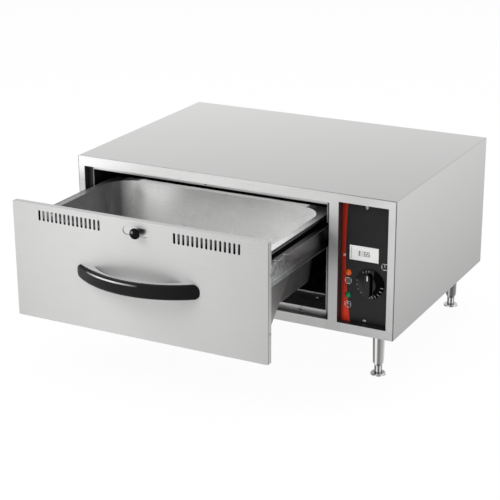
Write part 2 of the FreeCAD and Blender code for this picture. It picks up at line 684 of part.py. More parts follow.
def make_axles(label, centre, carrier, free_end):
    """Riveted pins that carry a pair of rollers: a shoulder at the sheet, the axle, and a flat head."""
    body = new_body(label)
    outward = "+" if value(free_end) > value(carrier) else "-"
    inward = "-" if outward == "+" else "+"
    for side in SIDES:
        shoulder = across(side, f"roller_half {inward} (roller_wide / 2 + collar_air)")
        collar = across(side, f"roller_half {outward} (roller_wide / 2 + collar_air)")
        head = across(side, f"roller_half {outward} (roller_wide / 2 + collar_air + axle_head)")
        seat = across(side, carrier)
        profile = new_sketch(body, "XY", "rail_level", "0", centre)
        outline(profile, [
            (seat, "0"), (head, "0"), (head, "axle_collar"), (collar, "axle_collar"), (collar, "axle"),
            (shoulder, "axle"), (shoulder, "axle_collar"), (seat, "axle_collar")])
        revolve(profile, "H_Axis")


# ---------------------------------------------------------------- drawer


def vent_slots(body, plane_y, depth, round_ends=True):
    """Two rows of upright slots through a sheet."""
    slots = new_sketch(body, "XZ", plane_y)
    for sign in "-+":
        first = f"fittings_mid {sign} vent_spread - vent_pitch * (vent_count - 1) / 2"
        if round_ends:
            upright_slot(slots, first, "vent_level", "vent_tall", "vent_wide")
        else:
            rectangle(slots, f"{first} - vent_wide / 2", f"{first} + vent_wide / 2",
                      "vent_level - vent_tall / 2", "vent_level + vent_tall / 2")
    repeat(pocket(slots, depth), "H_Axis", "vent_pitch", "vent_count")


HANDLE_SCREWS = [(f"fittings_mid {sign} (handle_span + handle_inner) / 4", "handle_z") for sign in "-+"]
SIDE_SCREW_LEVELS = ("front_low + side_screw_rise", "front_high - side_screw_drop")


def make_drawer_front():
    """Outer skin of the drawer front: a shallow folded tray with vents and the vent knob's slot."""
    body = new_body("drawer_front")
    block = new_sketch(body, "XZ", "front_face")
    rectangle(block, across("left", "front_half"), across("right", "front_half"), "front_low", "front_high")
    pad(block, "front_thick")
    soften(body, "front_corner", lambda edge: runs_along(edge, "y"))
    soften(body, "skin * 0.8", lambda edge: flat_at(edge, "y", "front_face"))
    hollow = new_sketch(body, "XZ", "front_inside")
    rectangle(hollow, across("left", "front_half - skin"), across("right", "front_half - skin"),
              "front_low + skin", "front_high - skin")
    pocket(hollow, "front_thick")
    vent_slots(body, "front_face - skin", "3 * skin")
    openings = new_sketch(body, "XZ", "front_face - skin")
    level_slot(openings, "fittings_mid", "vent_level", "knob_slot_long", "knob_slot_tall")
    for x, z in HANDLE_SCREWS:
        circle(openings, x, z, "handle_screw + hole_air")
    pocket(openings, "3 * skin")
    sides = new_sketch(body, "YZ", across("left", "front_half + skin"))
    for level in SIDE_SCREW_LEVELS:
        circle(sides, "side_screw_y", level, "screw + hole_air")
    pocket(sides, "2 * front_half + 2 * skin")


def make_drawer_back():
    """Inner tray of the drawer front, nested in the skin and carrying the slides."""
    body = new_body("drawer_front_inner")
    block = new_sketch(body, "XZ", "front_back - tray_depth")
    outer = "front_half - skin - fit"
    rectangle(block, across("left", outer), across("right", outer), "front_low + skin + fit",
              "front_high - skin - fit")
    pad(block, "tray_depth")
    hollow = new_sketch(body, "XZ", "front_back - tray_depth")
    inner = "front_half - 2 * skin - fit"
    rectangle(hollow, across("left", inner), across("right", inner), "front_low + 2 * skin + fit",
              "front_high - 2 * skin - fit")
    pocket(hollow, "tray_depth - skin")
    vent_slots(body, "front_back - 2 * skin", "3 * skin", round_ends=False)
    sides = new_sketch(body, "YZ", across("left", "front_half + skin"))
    for level in SIDE_SCREW_LEVELS:
        circle(sides, "side_screw_y", level, "screw + hole_air")
    pocket(sides, "2 * front_half + 2 * skin")


def make_front_insulation():
    """Board that fills the drawer front below the vents."""
    body = new_body("front_insulation")
    front = "(front_inside + handle_screw_room)"
    board = new_sketch(body, "XZ", front)
    edge = "front_half - 2 * skin - 2 * fit - screw_long"
    rectangle(board, across("left", edge), across("right", edge), "front_low + 2 * skin + 2 * fit",
              "vent_level - shutter_tall / 2 - guide_foot - 2 * skin")
    pad(board, f"front_back - skin - {front}")


def make_vent_guides():
    """Two folded strips behind the skin that hold the shutter's long edges."""
    body = new_body("vent_guides")
    for sign in "-+":
        strip = new_sketch(body, "YZ", "fittings_mid - guide_reach")
        far = f"vent_level {sign} (shutter_tall / 2 + guide_foot)"
        groove = f"vent_level {sign} (shutter_tall / 2 + shutter_air)"
        lip = f"vent_level {sign} (shutter_tall / 2 - guide_lip)"
        lip_front = "shutter_back + shutter_air"
        outline(strip, [
            ("front_inside", far), (f"{lip_front} + guide_sheet", far), (f"{lip_front} + guide_sheet", lip),
            (lip_front, lip), (lip_front, groove), ("front_inside", groove)])
        pad(strip, "2 * guide_reach")


def make_vent_shutter():
    """Sliding strip with the same slots as the skin, which opens and closes the vents."""
    body = new_body("vent_shutter")
    plate = new_sketch(body, "XZ", "shutter_front")
    rectangle(plate, "fittings_mid - shutter_reach", "fittings_mid + shutter_reach",
              "vent_level - shutter_tall / 2", "vent_level + shutter_tall / 2")
    pad(plate, "shutter_thick")
    vent_slots(body, "shutter_front - skin", "shutter_thick + 2 * skin", round_ends=False)


def make_vent_knob():
    """Round button on a stem through the skin's slot, with a domed front."""
    body = new_body("vent_knob")
    profile = new_sketch(body, "XY", "vent_level", "fittings_mid + vent_knob_shift", "0")
    stalk = "(vent_stem + vent_knob_dome / 2)"
    outline(profile, [
        ("0", "shutter_front"), ("0", "vent_knob_front"),
        ("vent_knob - 2 * vent_knob_dome", "vent_knob_front"),
        ("vent_knob", "vent_knob_front + vent_knob_dome"), ("vent_knob", "vent_knob_back"),
        (stalk, "vent_knob_back + vent_knob_dome"), (stalk, "front_face - 2 * vent_knob_air"),
        ("vent_stem", "front_face - vent_knob_air"), ("vent_stem", "shutter_front")])
    revolve(profile)


def make_handle():
    """Bow handle: a crescent between two arcs, rounded along its edges."""
    body = new_body("handle")
    plan = new_sketch(body, "XY", "leg_height + handle_base", "fittings_mid", "-drawer_open")
    arcs = (("handle_span", "handle_reach"), ("handle_inner", "handle_clear"))
    items = []
    for span, rise in arcs:
        ends = [Vector(sign * value(span) / 2, 0, 0) for sign in (-1, 1)]
        crown = Vector(0, -value(rise), 0)
        item = plan.addGeometry(Part.Arc(ends[0], crown, ends[1]))
        hold_radius(plan, item, f"({span} ^ 2 / 4 + {rise} ^ 2) / (2 * {rise})")
        hold(plan, item, 1, f"-{span} / 2", "0")
        hold(plan, item, 2, f"{span} / 2", "0")
        items.append(item)
    outer, inner = items
    for point, sign in ((1, -1), (2, 1)):
        start = Vector(sign * value("handle_span") / 2, 0, 0)
        end = Vector(sign * value("handle_inner") / 2, 0, 0)
        line = plan.addGeometry(Part.LineSegment(start, end))
        plan.addConstraint(Sketcher.Constraint("Coincident", line, 1, outer, point))
        plan.addConstraint(Sketcher.Constraint("Coincident", line, 2, inner, point))
    pad(plan, "handle_tall")
    soften(body, "handle_round", lambda edge: near(edge.BoundBox.XLength, "handle_span", 0.5)
           and near(edge.BoundBox.YLength, "handle_reach", 0.5))
    soften(body, "handle_round_inner", lambda edge: near(edge.BoundBox.XLength, "handle_inner", 0.5)
           and near(edge.BoundBox.YLength, "handle_clear", 0.5))
    ends = new_sketch(body, "XZ", "front_face - handle_reach - skin")
    left, right = "fittings_mid - handle_span / 2", "fittings_mid + handle_span / 2"
    low, high = "leg_height + handle_base", "leg_height + handle_base + handle_tall"
    rounded_rectangle(ends, left, right, low, high, "handle_end")
    rectangle(ends, f"{left} - skin", f"{right} + skin", f"{low} - skin", f"{high} + skin")
    pocket(ends, "handle_reach + 2 * skin")
    holes = new_sketch(body, "XZ", "-drawer_open")
    for x, z in HANDLE_SCREWS:
        circle(holes, x, z, "handle_screw + fit / 4")
    pocket(holes, "handle_screw_long + skin", backwards=True)


def make_pan_support(side):
    """Z-shaped side member: lip under the pan's rim, web beside the pan, foot on the slide's web."""
    body = new_body(f"pan_support_{side}")
    section = new_sketch(body, "XZ", "front_back")
    web, back = across(side, "support_web"), across(side, "support_web + support_sheet")
    edge, slide = across(side, "support_edge"), across(side, "web_half")
    outline(section, [
        (web, "seat"), (edge, "seat"), (edge, "seat - support_sheet"), (back, "seat - support_sheet"),
        (back, "support_low + support_sheet"), (slide, "support_low + support_sheet"),
        (slide, "support_low"), (web, "support_low")])
    pad(section, "support_end - front_back")


def make_gusset(side):
    """Curved plate that ties a slide to the drawer front, with a flange on the front's back."""
    body = new_body(f"drawer_gusset_{side}")
    near_face = across(side, "web_half")
    inner_face = across(side, "web_half - gusset_sheet")
    low, high = sorted((near_face, inner_face), key=value)
    plate = new_sketch(body, "YZ", low)
    foot = "front_low + gusset_foot"
    outline(plate, [
        ("front_back", foot), ("front_back + gusset_foot", foot), ("front_back + gusset_foot", "gusset_bend"),
        ("front_back + gusset_top", "support_low"), ("front_back", "support_low")])
    pad(plate, "gusset_sheet")
    soften(body, "gusset_round", lambda edge: runs_along(edge, "x") and flat_at(edge, "z", "gusset_bend"))
    flange = new_sketch(body, "XZ", "front_back")
    tip = across(side, "web_half - gusset_flange")
    left, right = sorted((near_face, tip), key=value)
    rectangle(flange, left, right, foot, "support_low")
    pad(flange, "gusset_sheet")


def make_cross_bars():
    """Front and rear angles between the supports, under the pan's short rims."""
    for label, web, lip in (("front_cross_bar", "front_back", "pan_front + pan_rim - support_air"),
                            ("rear_cross_bar", "bar_web", "support_end - support_overrun")):
        body = new_body(label)
        section = new_sketch(body, "YZ", across("left", "support_web"))
        outline(section, [
            (web, "support_low"), (f"{web} + support_sheet", "support_low"),
            (f"{web} + support_sheet", "seat - support_sheet"), (lip, "seat - support_sheet"), (lip, "seat"),
            (web, "seat")])
        pad(section, "2 * support_web")


def make_food_pan():
    """Full-size gastronorm pan: tapered drawn body with large corners and a turned-down rim."""
    body = new_body("food_pan")

    def section(level, inset, radius):
        """The pan's outline at its mouth, moved in all round."""
        sketch = new_sketch(body, "XY", level, "drawer_mid", "pan_mid")
        half, deep_half = f"pan_mouth_half - {inset}", f"pan_mouth_deep_half - {inset}"
        rounded_rectangle(sketch, f"-({half})", f"({half})", f"-({deep_half})", f"({deep_half})", radius)
        return sketch

    drawn = pad(section("rim_under", "0", "pan_corner"), "pan_height - pan_wall", backwards=True)
    drawn.setExpression("TaperAngle", tie("-atan(pan_draft / pan_height)"))
    rim = new_sketch(body, "XY", "rim_under", "drawer_mid", "pan_mid")
    rounded_rectangle(rim, "-pan_wide / 2", "pan_wide / 2", "-pan_deep / 2", "pan_deep / 2", "pan_rim_corner")
    pad(rim, "pan_wall")
    hollow = pocket(section("rim_top", "pan_wall", "(pan_corner - pan_wall)"), "pan_height - pan_wall",
                    backwards=True)
    hollow.setExpression("TaperAngle", tie("-atan(pan_draft / pan_height)"))
    soften(body, "pan_floor_round - pan_wall", lambda edge: flat_at(edge, "z", "pan_base + pan_wall"))
    soften(body, "pan_floor_round", lambda edge: flat_at(edge, "z", "pan_base"))
    skirt = new_sketch(body, "XY", "seat", "drawer_mid", "pan_mid")
    for inset in ("0", "pan_wall"):
        rounded_rectangle(skirt, f"{inset} - pan_wide / 2", f"pan_wide / 2 - {inset}",
                          f"{inset} - pan_deep / 2", f"pan_deep / 2 - {inset}", f"(pan_rim_corner - {inset})")
    pad(skirt, "rim_drop")


# ---------------------------------------------------------------- control bay


PANEL_SCREWS = [("panel_screw_x", level)
                for level in ("bay_low + panel_screw_rise", "bay_high - panel_screw_drop")]


def make_control_panel():
    """Dark plate behind the small window, pierced for the dial, lamps, thermometer and screws."""
    body = new_body("control_panel")
    plate = new_sketch(body, "XZ", "recess")
    rectangle(plate, "bay_left - panel_margin", "bay_right + panel_margin", "bay_low - panel_margin",
              "bay_high + panel_margin")
    circle(plate, "dial_x", "dial_z", "shaft + 1")
    for z in ("lamp_z", "lamp_z + lamp_gap"):
        circle(plate, "lamp_x", z, "lamp_neck + hole_air")
    for x, z in PANEL_SCREWS:
        circle(plate, x, z, "screw + hole_air")
    rectangle(plate, "meter_x - meter_case_half", "meter_x + meter_case_half",
              "meter_z - meter_case_tall / 2", "meter_z + meter_case_tall / 2")
    pad(plate, "panel_thick")


def make_thermometer():
    """Display: white bezel plate, grey glass and the case behind the panel."""

    def centred(sketch, half_wide, tall):
        """A rectangle about the display's centre."""
        rectangle(sketch, f"meter_x - ({half_wide})", f"meter_x + {half_wide}",
                  f"meter_z - ({tall}) / 2", f"meter_z + ({tall}) / 2")

    bezel = new_body("thermometer_bezel")
    face = new_sketch(bezel, "XZ", "recess - meter_proud")
    centred(face, "meter_wide / 2", "meter_tall")
    centred(face, "meter_glass_wide / 2", "meter_glass_tall")
    pad(face, "meter_proud")
    limits = (("x", "meter_x - meter_wide / 2"), ("x", "meter_x + meter_wide / 2"),
              ("z", "meter_z - meter_tall / 2"), ("z", "meter_z + meter_tall / 2"))
    soften(bezel, "meter_round", lambda edge: flat_at(edge, "y", "recess - meter_proud")
           and any(flat_at(edge, axis, limit) for axis, limit in limits))
    glass = new_body("thermometer_glass")
    pane = new_sketch(glass, "XZ", "recess - meter_glass_thick")
    centred(pane, "meter_glass_wide / 2 - hole_air", "meter_glass_tall - 2 * hole_air")
    pad(pane, "meter_glass_thick")
    case = new_body("thermometer_case")
    block = new_sketch(case, "XZ", "recess")
    centred(block, "meter_case_half - fit", "meter_case_tall - 2 * fit")
    pad(block, "meter_case_deep")
    lugs = new_sketch(case, "XZ", "panel_back")
    centred(lugs, "meter_case_half + meter_lug", "2 * meter_lug")
    pad(lugs, "meter_lug")


def make_lamps():
    """Two pilot lamps: a domed lens in front of the panel and a holder behind it."""
    tail = "(panel_back + lamp_step)"
    for label, z in (("power_lamp", "lamp_z"), ("heat_lamp", "lamp_z + lamp_gap")):
        lens = new_body(label)
        profile = new_sketch(lens, "XY", z, "lamp_x", "0")
        outline(profile, [
            ("0", tail), ("0", "recess - lamp_dome"), ("lamp * 0.5", "recess - lamp_dome * 0.9"),
            ("lamp * 0.86", "recess - lamp_dome * 0.55"), ("lamp", "recess - lamp_dome * 0.15"),
            ("lamp", "recess"), ("lamp_neck", "recess"), ("lamp_neck", tail)])
        revolve(profile)
    holders = new_body("lamp_holders")
    for z in ("lamp_z", "lamp_z + lamp_gap"):
        profile = new_sketch(holders, "XY", z, "lamp_x", "0")
        outline(profile, [
            ("0", tail), ("lamp_neck", tail), ("lamp_neck", "panel_back"), ("lamp_body", "panel_back"),
            ("lamp_body", "panel_back + lamp_deep"), ("0", "panel_back + lamp_deep")])
        revolve(profile)


def make_thermostat():
    """Thermostat can with a mounting lug, its shaft and the dial knob."""
    can = new_body("thermostat")
    profile = new_sketch(can, "XY", "dial_z", "dial_x", "0")
    outline(profile, [
        ("shaft + shaft_fit", "panel_back"), ("can_neck", "panel_back"),
        ("can_neck", "panel_back + can_step"),
        ("can", "panel_back + can_step"), ("can", "panel_back + can_long"), ("0", "panel_back + can_long"),
        ("0", "panel_back + can_bore"), ("shaft + shaft_fit", "panel_back + can_bore")])
    revolve(profile)
    lug = new_sketch(can, "XZ", "panel_back + can_step")
    rectangle(lug, "dial_x - can_lug_half", "dial_x + can_lug_half", "dial_z - can_neck", "dial_z + can_neck")
    circle(lug, "dial_x", "dial_z", "can / 2")
    pad(lug, "panel_thick")
    shaft = new_body("thermostat_shaft")
    pin = new_sketch(shaft, "XZ", "recess - dial_bore")
    circle(pin, "dial_x", "dial_z", "shaft")
    pad(pin, "dial_bore + panel_thick + can_bore - fit")
    knob = new_body("thermostat_knob")
    skirt = new_sketch(knob, "XY", "dial_z", "dial_x", "0")
    outline(skirt, [
        ("0", "recess - dial_air"), ("dial", "recess - dial_air"), ("dial", "recess - dial_edge"),
        ("dial - dial_slope", "recess - dial_skirt"), ("0", "recess - dial_skirt")])
    revolve(skirt)
    grip = new_sketch(knob, "XZ", "recess - dial_proud")
    upright_slot(grip, "dial_x", "dial_z", "grip_long", "grip_wide")
    pad(grip, "dial_proud - dial_skirt + skin")
    soften(knob, "grip_round", lambda edge: flat_at(edge, "y", "recess - dial_proud"), kind="Chamfer")
    bore = new_sketch(knob, "XZ", "recess")
    circle(bore, "dial_x", "dial_z", "shaft")
    pocket(bore, "dial_bore", backwards=True)


def make_terminal_block():
    """Mains terminal block on the bay floor, with a row of wire entries."""
    body = new_body("terminal_block")
    block = new_sketch(body, "XY", "floor_top")
    rectangle(block, "dial_x - terminal_half", "dial_x + terminal_half", "terminal_y",
              "terminal_y + terminal_deep")
    pad(block, "terminal_tall")
    entry = new_sketch(body, "XZ", "terminal_y - skin")
    circle(entry, "dial_x - 2 * terminal_pitch", "floor_top + terminal_tall / 2", "terminal_entry")
    repeat(pocket(entry, "terminal_deep + 2 * skin"), "H_Axis", "terminal_pitch", "5")


def make_gland():
    """Cord gland through the back panel and its lock nut inside."""
    body = new_body("cord_gland")
    profile = new_sketch(body, "XY", "gland_z", "gland_x", "0")
    inner_end = "cabinet_depth - skin - gland_long"
    outer_end = "cabinet_depth + gland_proud"
    outline(profile, [
        ("gland_bore", inner_end), ("gland_thread", inner_end), ("gland_thread", "cabinet_depth"),
        ("gland_flange", "cabinet_depth"), ("gland_flange", "cabinet_depth + gland_flange_thick"),
        ("gland_cap", "cabinet_depth + gland_flange_thick"), ("gland_cap", f"{outer_end} - 2 * skin"),
        ("gland_cap - 2 * skin", outer_end), ("gland_bore", outer_end)])
    revolve(profile)
    nut = new_body("gland_nut")
    hexagon(nut, "XZ", "cabinet_depth - skin - gland_nut_thick", "gland_x", "gland_z", "gland_flange",
            "gland_thread + hole_air", "gland_nut_thick")


# ---------------------------------------------------------------- legs and fasteners

CORNERS = {"front_left": ("-leg_x", "leg_inset"), "front_right": ("leg_x", "leg_inset"),
           "rear_left": ("-leg_x", "leg_back"), "rear_right": ("leg_x", "leg_back")}


def make_legs():
    """Four tapered stainless legs, each with a flange, a threaded top and a bore for the foot's stud."""
    body = new_body("legs")
    for x, y in CORNERS.values():
        profile = new_sketch(body, "XZ", y, x, "0")
        outline(profile, [
            ("0", "floor_top + stud_out"), ("stud", "floor_top + stud_out"), ("stud", "base"),
            ("leg_flange", "base"), ("leg_flange", "base - leg_flange_thick"),
            ("leg_top", "base - leg_flange_thick"), ("leg_foot", "leg_tip + leg_cone"), ("neck", "leg_tip"),
            ("stud + stud_fit", "leg_tip"), ("stud + stud_fit", "leg_tip + stud_hole"),
            ("0", "leg_tip + stud_hole")])
        revolve(profile)


def make_leg_nuts():
    """Hexagon nuts that hold the legs from inside the base."""
    body = new_body("leg_nuts")
    for x, y in CORNERS.values():
        hexagon(body, "XY", "floor_top", x, y, "nut_half", "stud + hole_air", "nut_tall")


def make_foot(corner):
    """Levelling foot: a flanged pad, a neck and a stud that screws up into the leg."""
    x, y = CORNERS[corner]
    body = new_body(f"foot_{corner}")
    profile = new_sketch(body, "XZ", y, x, "0")
    outline(profile, [
        ("0", "0"), ("foot", "0"), ("foot", "foot_thick / 2"), ("foot - foot_slope", "foot_thick"),
        ("neck", "foot_thick"), ("neck", "leg_tip - foot_air"), ("stud", "leg_tip - foot_air"),
        ("stud", "leg_tip + stud_long"), ("0", "leg_tip + stud_long")])
    revolve(profile)


def make_fasteners():
    """Screws and rivets in groups by where they are driven from."""
    fronts = new_body("front_screws")
    add_screws(fronts, "XZ", PANEL_SCREWS, "recess", "panel_thick + screw_long", "-")
    add_screws(fronts, "XZ", RING_SCREWS, "recess", "skin + screw_short", "-")
    add_screws(fronts, "XZ", COVER_SCREWS, "cover_front", "skin + screw_short", "-")
    add_screws(new_body("handle_screws"), "XZ", HANDLE_SCREWS, "front_inside", "skin + handle_screw_long",
               "+", head="2 * handle_screw", thread="handle_screw")
    add_screws(new_body("rear_panel_screws"), "XZ", REAR_SCREWS, "cabinet_depth", "2 * skin", "+")
    sides = new_body("drawer_fixings")
    for side in SIDES:
        seat = across(side, "front_half")
        for reach, radius in (("screw_side_head", "screw_head"), ("-screw_side_long", "screw")):
            tip = across(side, f"front_half + {reach}")
            low, high = sorted((seat, tip), key=value)
            section = new_sketch(sides, "YZ", low)
            for level in SIDE_SCREW_LEVELS:
                circle(section, "side_screw_y", level, radius)
            pad(section, f"{high} - ({low})")
        rivets = new_sketch(sides, "XY", "rail_high")
        for step in ("rivet_start", "rivet_start + rivet_pitch"):
            circle(rivets, across(side, "roller_half"), f"front_back + {step}", "rivet")
        pad(rivets, "screw_side_head")


make_outer_casing()
make_face_frame()
make_base_pan()
make_rear_panel()
make_cavity_ring()
make_cavity_liner()
make_bay_partition()
make_insulation_blanket()
make_heating_element()
make_element_brackets()
make_heater_cover()
make_sensor()
for side_name in SIDES:
    make_track(side_name)
    make_rail(side_name)
    make_roller(f"front_roller_{side_name}", side_name, "front_roller_y", "front_roller")
    make_roller(f"rear_roller_{side_name}", side_name, "rear_roller_y", "rear_roller")
    make_pan_support(side_name)
    make_gusset(side_name)
make_axles("track_axles", "front_roller_y", "liner_half - rail_sheet", "web_half")
make_axles("rail_axles", "rear_roller_y", "web_half + rail_sheet", "liner_half")
make_drawer_front()
make_drawer_back()
make_front_insulation()
make_vent_guides()
make_vent_shutter()
make_vent_knob()
make_handle()
make_cross_bars()
make_food_pan()
make_control_panel()
make_thermometer()
make_lamps()
make_thermostat()
make_terminal_block()
make_gland()
make_legs()
make_leg_nuts()
for corner_name in CORNERS:
    make_foot(corner_name)
make_fasteners()
doc.recompute()

# ---------------------------------------------------------------- check and export
failed = [f"{item.getParentGeoFeatureGroup().Label}: {item.Label}" for item in doc.Objects
          if {"Invalid", "Error"} & set(item.State)]
if failed:
    raise RuntimeError(f"failed objects: {failed}")
for part in SUBPARTS:
    if part.Shape.isNull() or not part.Shape.isValid() or not part.Shape.Solids:
        raise RuntimeError(f"bad shape: {part.Label}")

os.makedirs("parts", exist_ok=True)
for part in SUBPARTS:
    part.Shape.exportStep(f"parts/{part.Label}.step")
print(len(SUBPARTS), "sub-parts written")
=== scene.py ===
import json
import math

import bmesh
import bpy
from mathutils import Matrix, Vector


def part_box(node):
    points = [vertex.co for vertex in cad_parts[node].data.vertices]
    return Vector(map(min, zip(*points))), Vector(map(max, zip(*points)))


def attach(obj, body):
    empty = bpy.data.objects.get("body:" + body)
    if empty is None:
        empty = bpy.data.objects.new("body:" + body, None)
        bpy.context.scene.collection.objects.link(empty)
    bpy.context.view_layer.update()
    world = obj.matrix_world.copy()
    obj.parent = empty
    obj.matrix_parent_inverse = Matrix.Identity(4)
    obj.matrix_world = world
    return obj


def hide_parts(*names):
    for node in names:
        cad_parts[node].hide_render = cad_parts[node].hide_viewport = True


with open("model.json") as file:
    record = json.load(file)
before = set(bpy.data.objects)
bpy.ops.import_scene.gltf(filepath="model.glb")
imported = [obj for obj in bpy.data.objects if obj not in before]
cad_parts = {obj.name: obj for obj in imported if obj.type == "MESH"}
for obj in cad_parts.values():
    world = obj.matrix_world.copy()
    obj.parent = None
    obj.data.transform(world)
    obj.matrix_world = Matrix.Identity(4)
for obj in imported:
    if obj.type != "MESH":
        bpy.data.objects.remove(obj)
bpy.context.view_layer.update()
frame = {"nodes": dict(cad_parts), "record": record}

# The countertop warming drawer's looks: materials on the CAD nodes, many with painted light and shade in
# their colour, finer pieces in place of some of them, the printing on the control panel, and a pale
# studio. Metres, in the CAD's frame.

NODES = frame["nodes"]
MM = 0.001

# The cabinet's outline and the control bay's sides, where the painted light and shade start and end.
LEFT, RIGHT = -0.37, 0.37
FRONT, BACK = -0.115, 0.415
FOOT, TOP = 0.1, 0.394
BAY_LEFT, BAY_RIGHT = 0.12, 0.34

# ---------------------------------------------------------------- materials: the parts they share

# The least part of a normal along an axis on a face that looks that way, and where rounds count too.
FLAT, ROUND = 0.7, 0.4
# Painted shade: the tone given to a face that lies in the dark.
SHADE = 0.04
# How deep the grain of metal goes.
GRAIN = 0.03 * MM
# The way to the right across the photograph's view, along X and Y.
TO_THE_RIGHT = (0.886, 0.463)


class Tree:
    """The nodes of a material or of a world, with short calls that add to them."""

    def __init__(self, owner):
        owner.use_nodes = True
        self.nodes = owner.node_tree.nodes
        self.links = owner.node_tree.links

    def node(self, kind, inputs=None, **settings):
        """A node with its settings, and with sockets given as values or as links."""
        made = self.nodes.new("ShaderNode" + kind)
        for key, value in settings.items():
            setattr(made, key, value)
        for key, value in (inputs or {}).items():
            self.feed(made.inputs[key], value)
        return made

    def feed(self, socket, value):
        """A socket's value, or the link that brings it."""
        if isinstance(value, bpy.types.NodeSocket):
            self.links.new(value, socket)
        else:
            socket.default_value = value

    def math(self, operation, *terms):
        """One of Blender's operations on one to three levels."""
        return self.node("Math", dict(enumerate(terms)), operation=operation).outputs[0]

    def times(self, first, second):
        """Two levels multiplied; of two masks, what lies in both."""
        return self.math("MULTIPLY", first, second)

    def pick(self, mask, plain, marked):
        """One level where the mask is nought and another where it is one."""
        return self.node("Mix", {0: mask, 2: plain, 3: marked}).outputs[0]

    def spread(self, fac, low, high, start=0.3, end=0.7):
        """A factor between start and end mapped to a range."""
        inputs = {"Value": fac, "From Min": start, "From Max": end, "To Min": low, "To Max": high}
        return self.node("MapRange", inputs).outputs[0]


class Surface(Tree):
    """A Principled material, with masks and levels that stay on the piece when it moves."""

    def __init__(self, name, **values):
        self.material = bpy.data.materials.new(name)
        super().__init__(self.material)
        self.shader = self.nodes["Principled BSDF"]
        self.place = self.nodes.new("ShaderNodeTexCoord")
        self.leaning = None  # the normal that the relief stands on, where it isn't the surface's own
        for key, value in values.items():
            self.shader.inputs[key.replace("_", " ")].default_value = value

    def noise(self, scale, detail=2.0, stretch=None, roughness=0.5):
        """Noise from 0 to 1 in the piece's own coordinates, which may be scaled along each axis."""
        place = self.place.outputs["Object"]
        if stretch:
            place = self.node("Mapping", {"Vector": place, "Scale": stretch}).outputs[0]
        inputs = {"Vector": place, "Scale": scale, "Detail": detail, "Roughness": roughness}
        return self.node("TexNoise", inputs).outputs[0]

    def axis(self, output, letter):
        """One coordinate of the place or of the normal."""
        split = self.node("SeparateXYZ", {"Vector": self.place.outputs[output]})
        return split.outputs["XYZ".index(letter)]

    def field(self, letter, start, end, low, high):
        """A level that runs from low to high between two places along an axis."""
        return self.spread(self.axis("Object", letter), low, high, start, end)

    def over(self, letter, place):
        """One beyond a place along an axis, nought before it."""
        return self.math("GREATER_THAN", self.axis("Object", letter), place)

    def under(self, letter, place):
        """One before a place along an axis, nought beyond it."""
        return self.math("LESS_THAN", self.axis("Object", letter), place)

    def off(self, letter, middle):
        """The distance from a middle along an axis."""
        return self.math("ABSOLUTE", self.math("SUBTRACT", self.axis("Object", letter), middle))

    def near(self, letter, middle, reach):
        """One within a reach of a middle along an axis, nought beyond it."""
        return self.math("COMPARE", self.axis("Object", letter), middle, reach)

    def away(self, point, place=None):
        """The distance from a point."""
        inputs = {0: place or self.place.outputs["Object"], 1: point}
        return self.node("VectorMath", inputs, operation="DISTANCE").outputs["Value"]

    def facing(self, letter, sign=1, least=FLAT):
        """One on the faces that look along an axis, nought elsewhere."""
        return self.math("GREATER_THAN", self.times(self.axis("Normal", letter), sign), least)

    def sideways(self):
        """One on the faces that look left or right, nought elsewhere."""
        return self.math("GREATER_THAN", self.math("ABSOLUTE", self.axis("Normal", "X")), FLAT)

    def bands(self, fac, *stops):
        """Levels at places from nought to one along a factor, blended between them."""
        ramp = self.node("ValToRGB", {"Fac": fac})
        elements = ramp.color_ramp.elements
        for index, (place, level) in enumerate(stops):
            stop = elements[index] if index < 2 else elements.new(place)
            stop.position, stop.color = place, (level, level, level, 1.0)
        return ramp.outputs[0]

    def round_about(self):
        """A factor that runs round an upright bar, from its far left to its far right."""
        along_x = self.times(self.axis("Normal", "X"), TO_THE_RIGHT[0])
        along_y = self.times(self.axis("Normal", "Y"), TO_THE_RIGHT[1])
        return self.spread(self.math("ADD", along_x, along_y), 0.0, 1.0, -1.0, 1.0)

    def colour(self, fac, first, second, tone=None):
        """The base colour between two others, times a level of painted light and shade if there is one."""
        mixed = self.node("Mix", {0: fac, 6: (*first, 1.0), 7: (*second, 1.0)}, data_type="RGBA").outputs[2]
        if tone is not None:
            mixed = self.node("VectorMath", {0: mixed, "Scale": tone}, operation="SCALE").outputs[0]
        self.feed(self.shader.inputs["Base Color"], mixed)

    def mottle(self, fac, colour, contrast, tone=None):
        """The base colour, a little lighter and darker along a factor."""
        self.colour(self.spread(fac, 0.0, 1.0), shade(colour, 1 - contrast), shade(colour, 1 + contrast), tone)

    def roughness(self, fac, low, high):
        """The shader's roughness, from low to high along a factor."""
        self.feed(self.shader.inputs["Roughness"], self.spread(fac, low, high))

    def bump(self, height, strength, distance):
        """Relief from a height."""
        inputs = {"Height": height, "Strength": strength, "Distance": distance}
        if self.leaning is not None:
            inputs["Normal"] = self.leaning
        self.feed(self.shader.inputs["Normal"], self.node("Bump", inputs).outputs[0])


def shade(colour, factor):
    """A colour made lighter or darker."""
    return tuple(channel * factor for channel in colour)


def ground(made, letter):
    """The fine streaks of a ground sheet, long along one axis."""
    long, fine = 7.0, 1100.0
    return made.noise(1.0, 3.0, tuple(long if way == letter else fine for way in "XYZ"), 0.7)


def brushed_metal(name, colour, rough, tone=None, metallic=1.0):
    """Ground sheet: fine streaks along X, or down the sides, with slow changes of tone."""
    made = Surface(name, Metallic=metallic)
    contrast, slow_share = 0.05, 0.4
    streaks = made.pick(made.sideways(), ground(made, "X"), ground(made, "Z"))
    both = made.pick(slow_share, streaks, made.noise(2.6))
    made.mottle(both, colour, contrast, tone and tone(made))
    made.roughness(both, rough - 0.05, rough + 0.06)
    made.bump(streaks, 0.12, GRAIN)
    return made.material


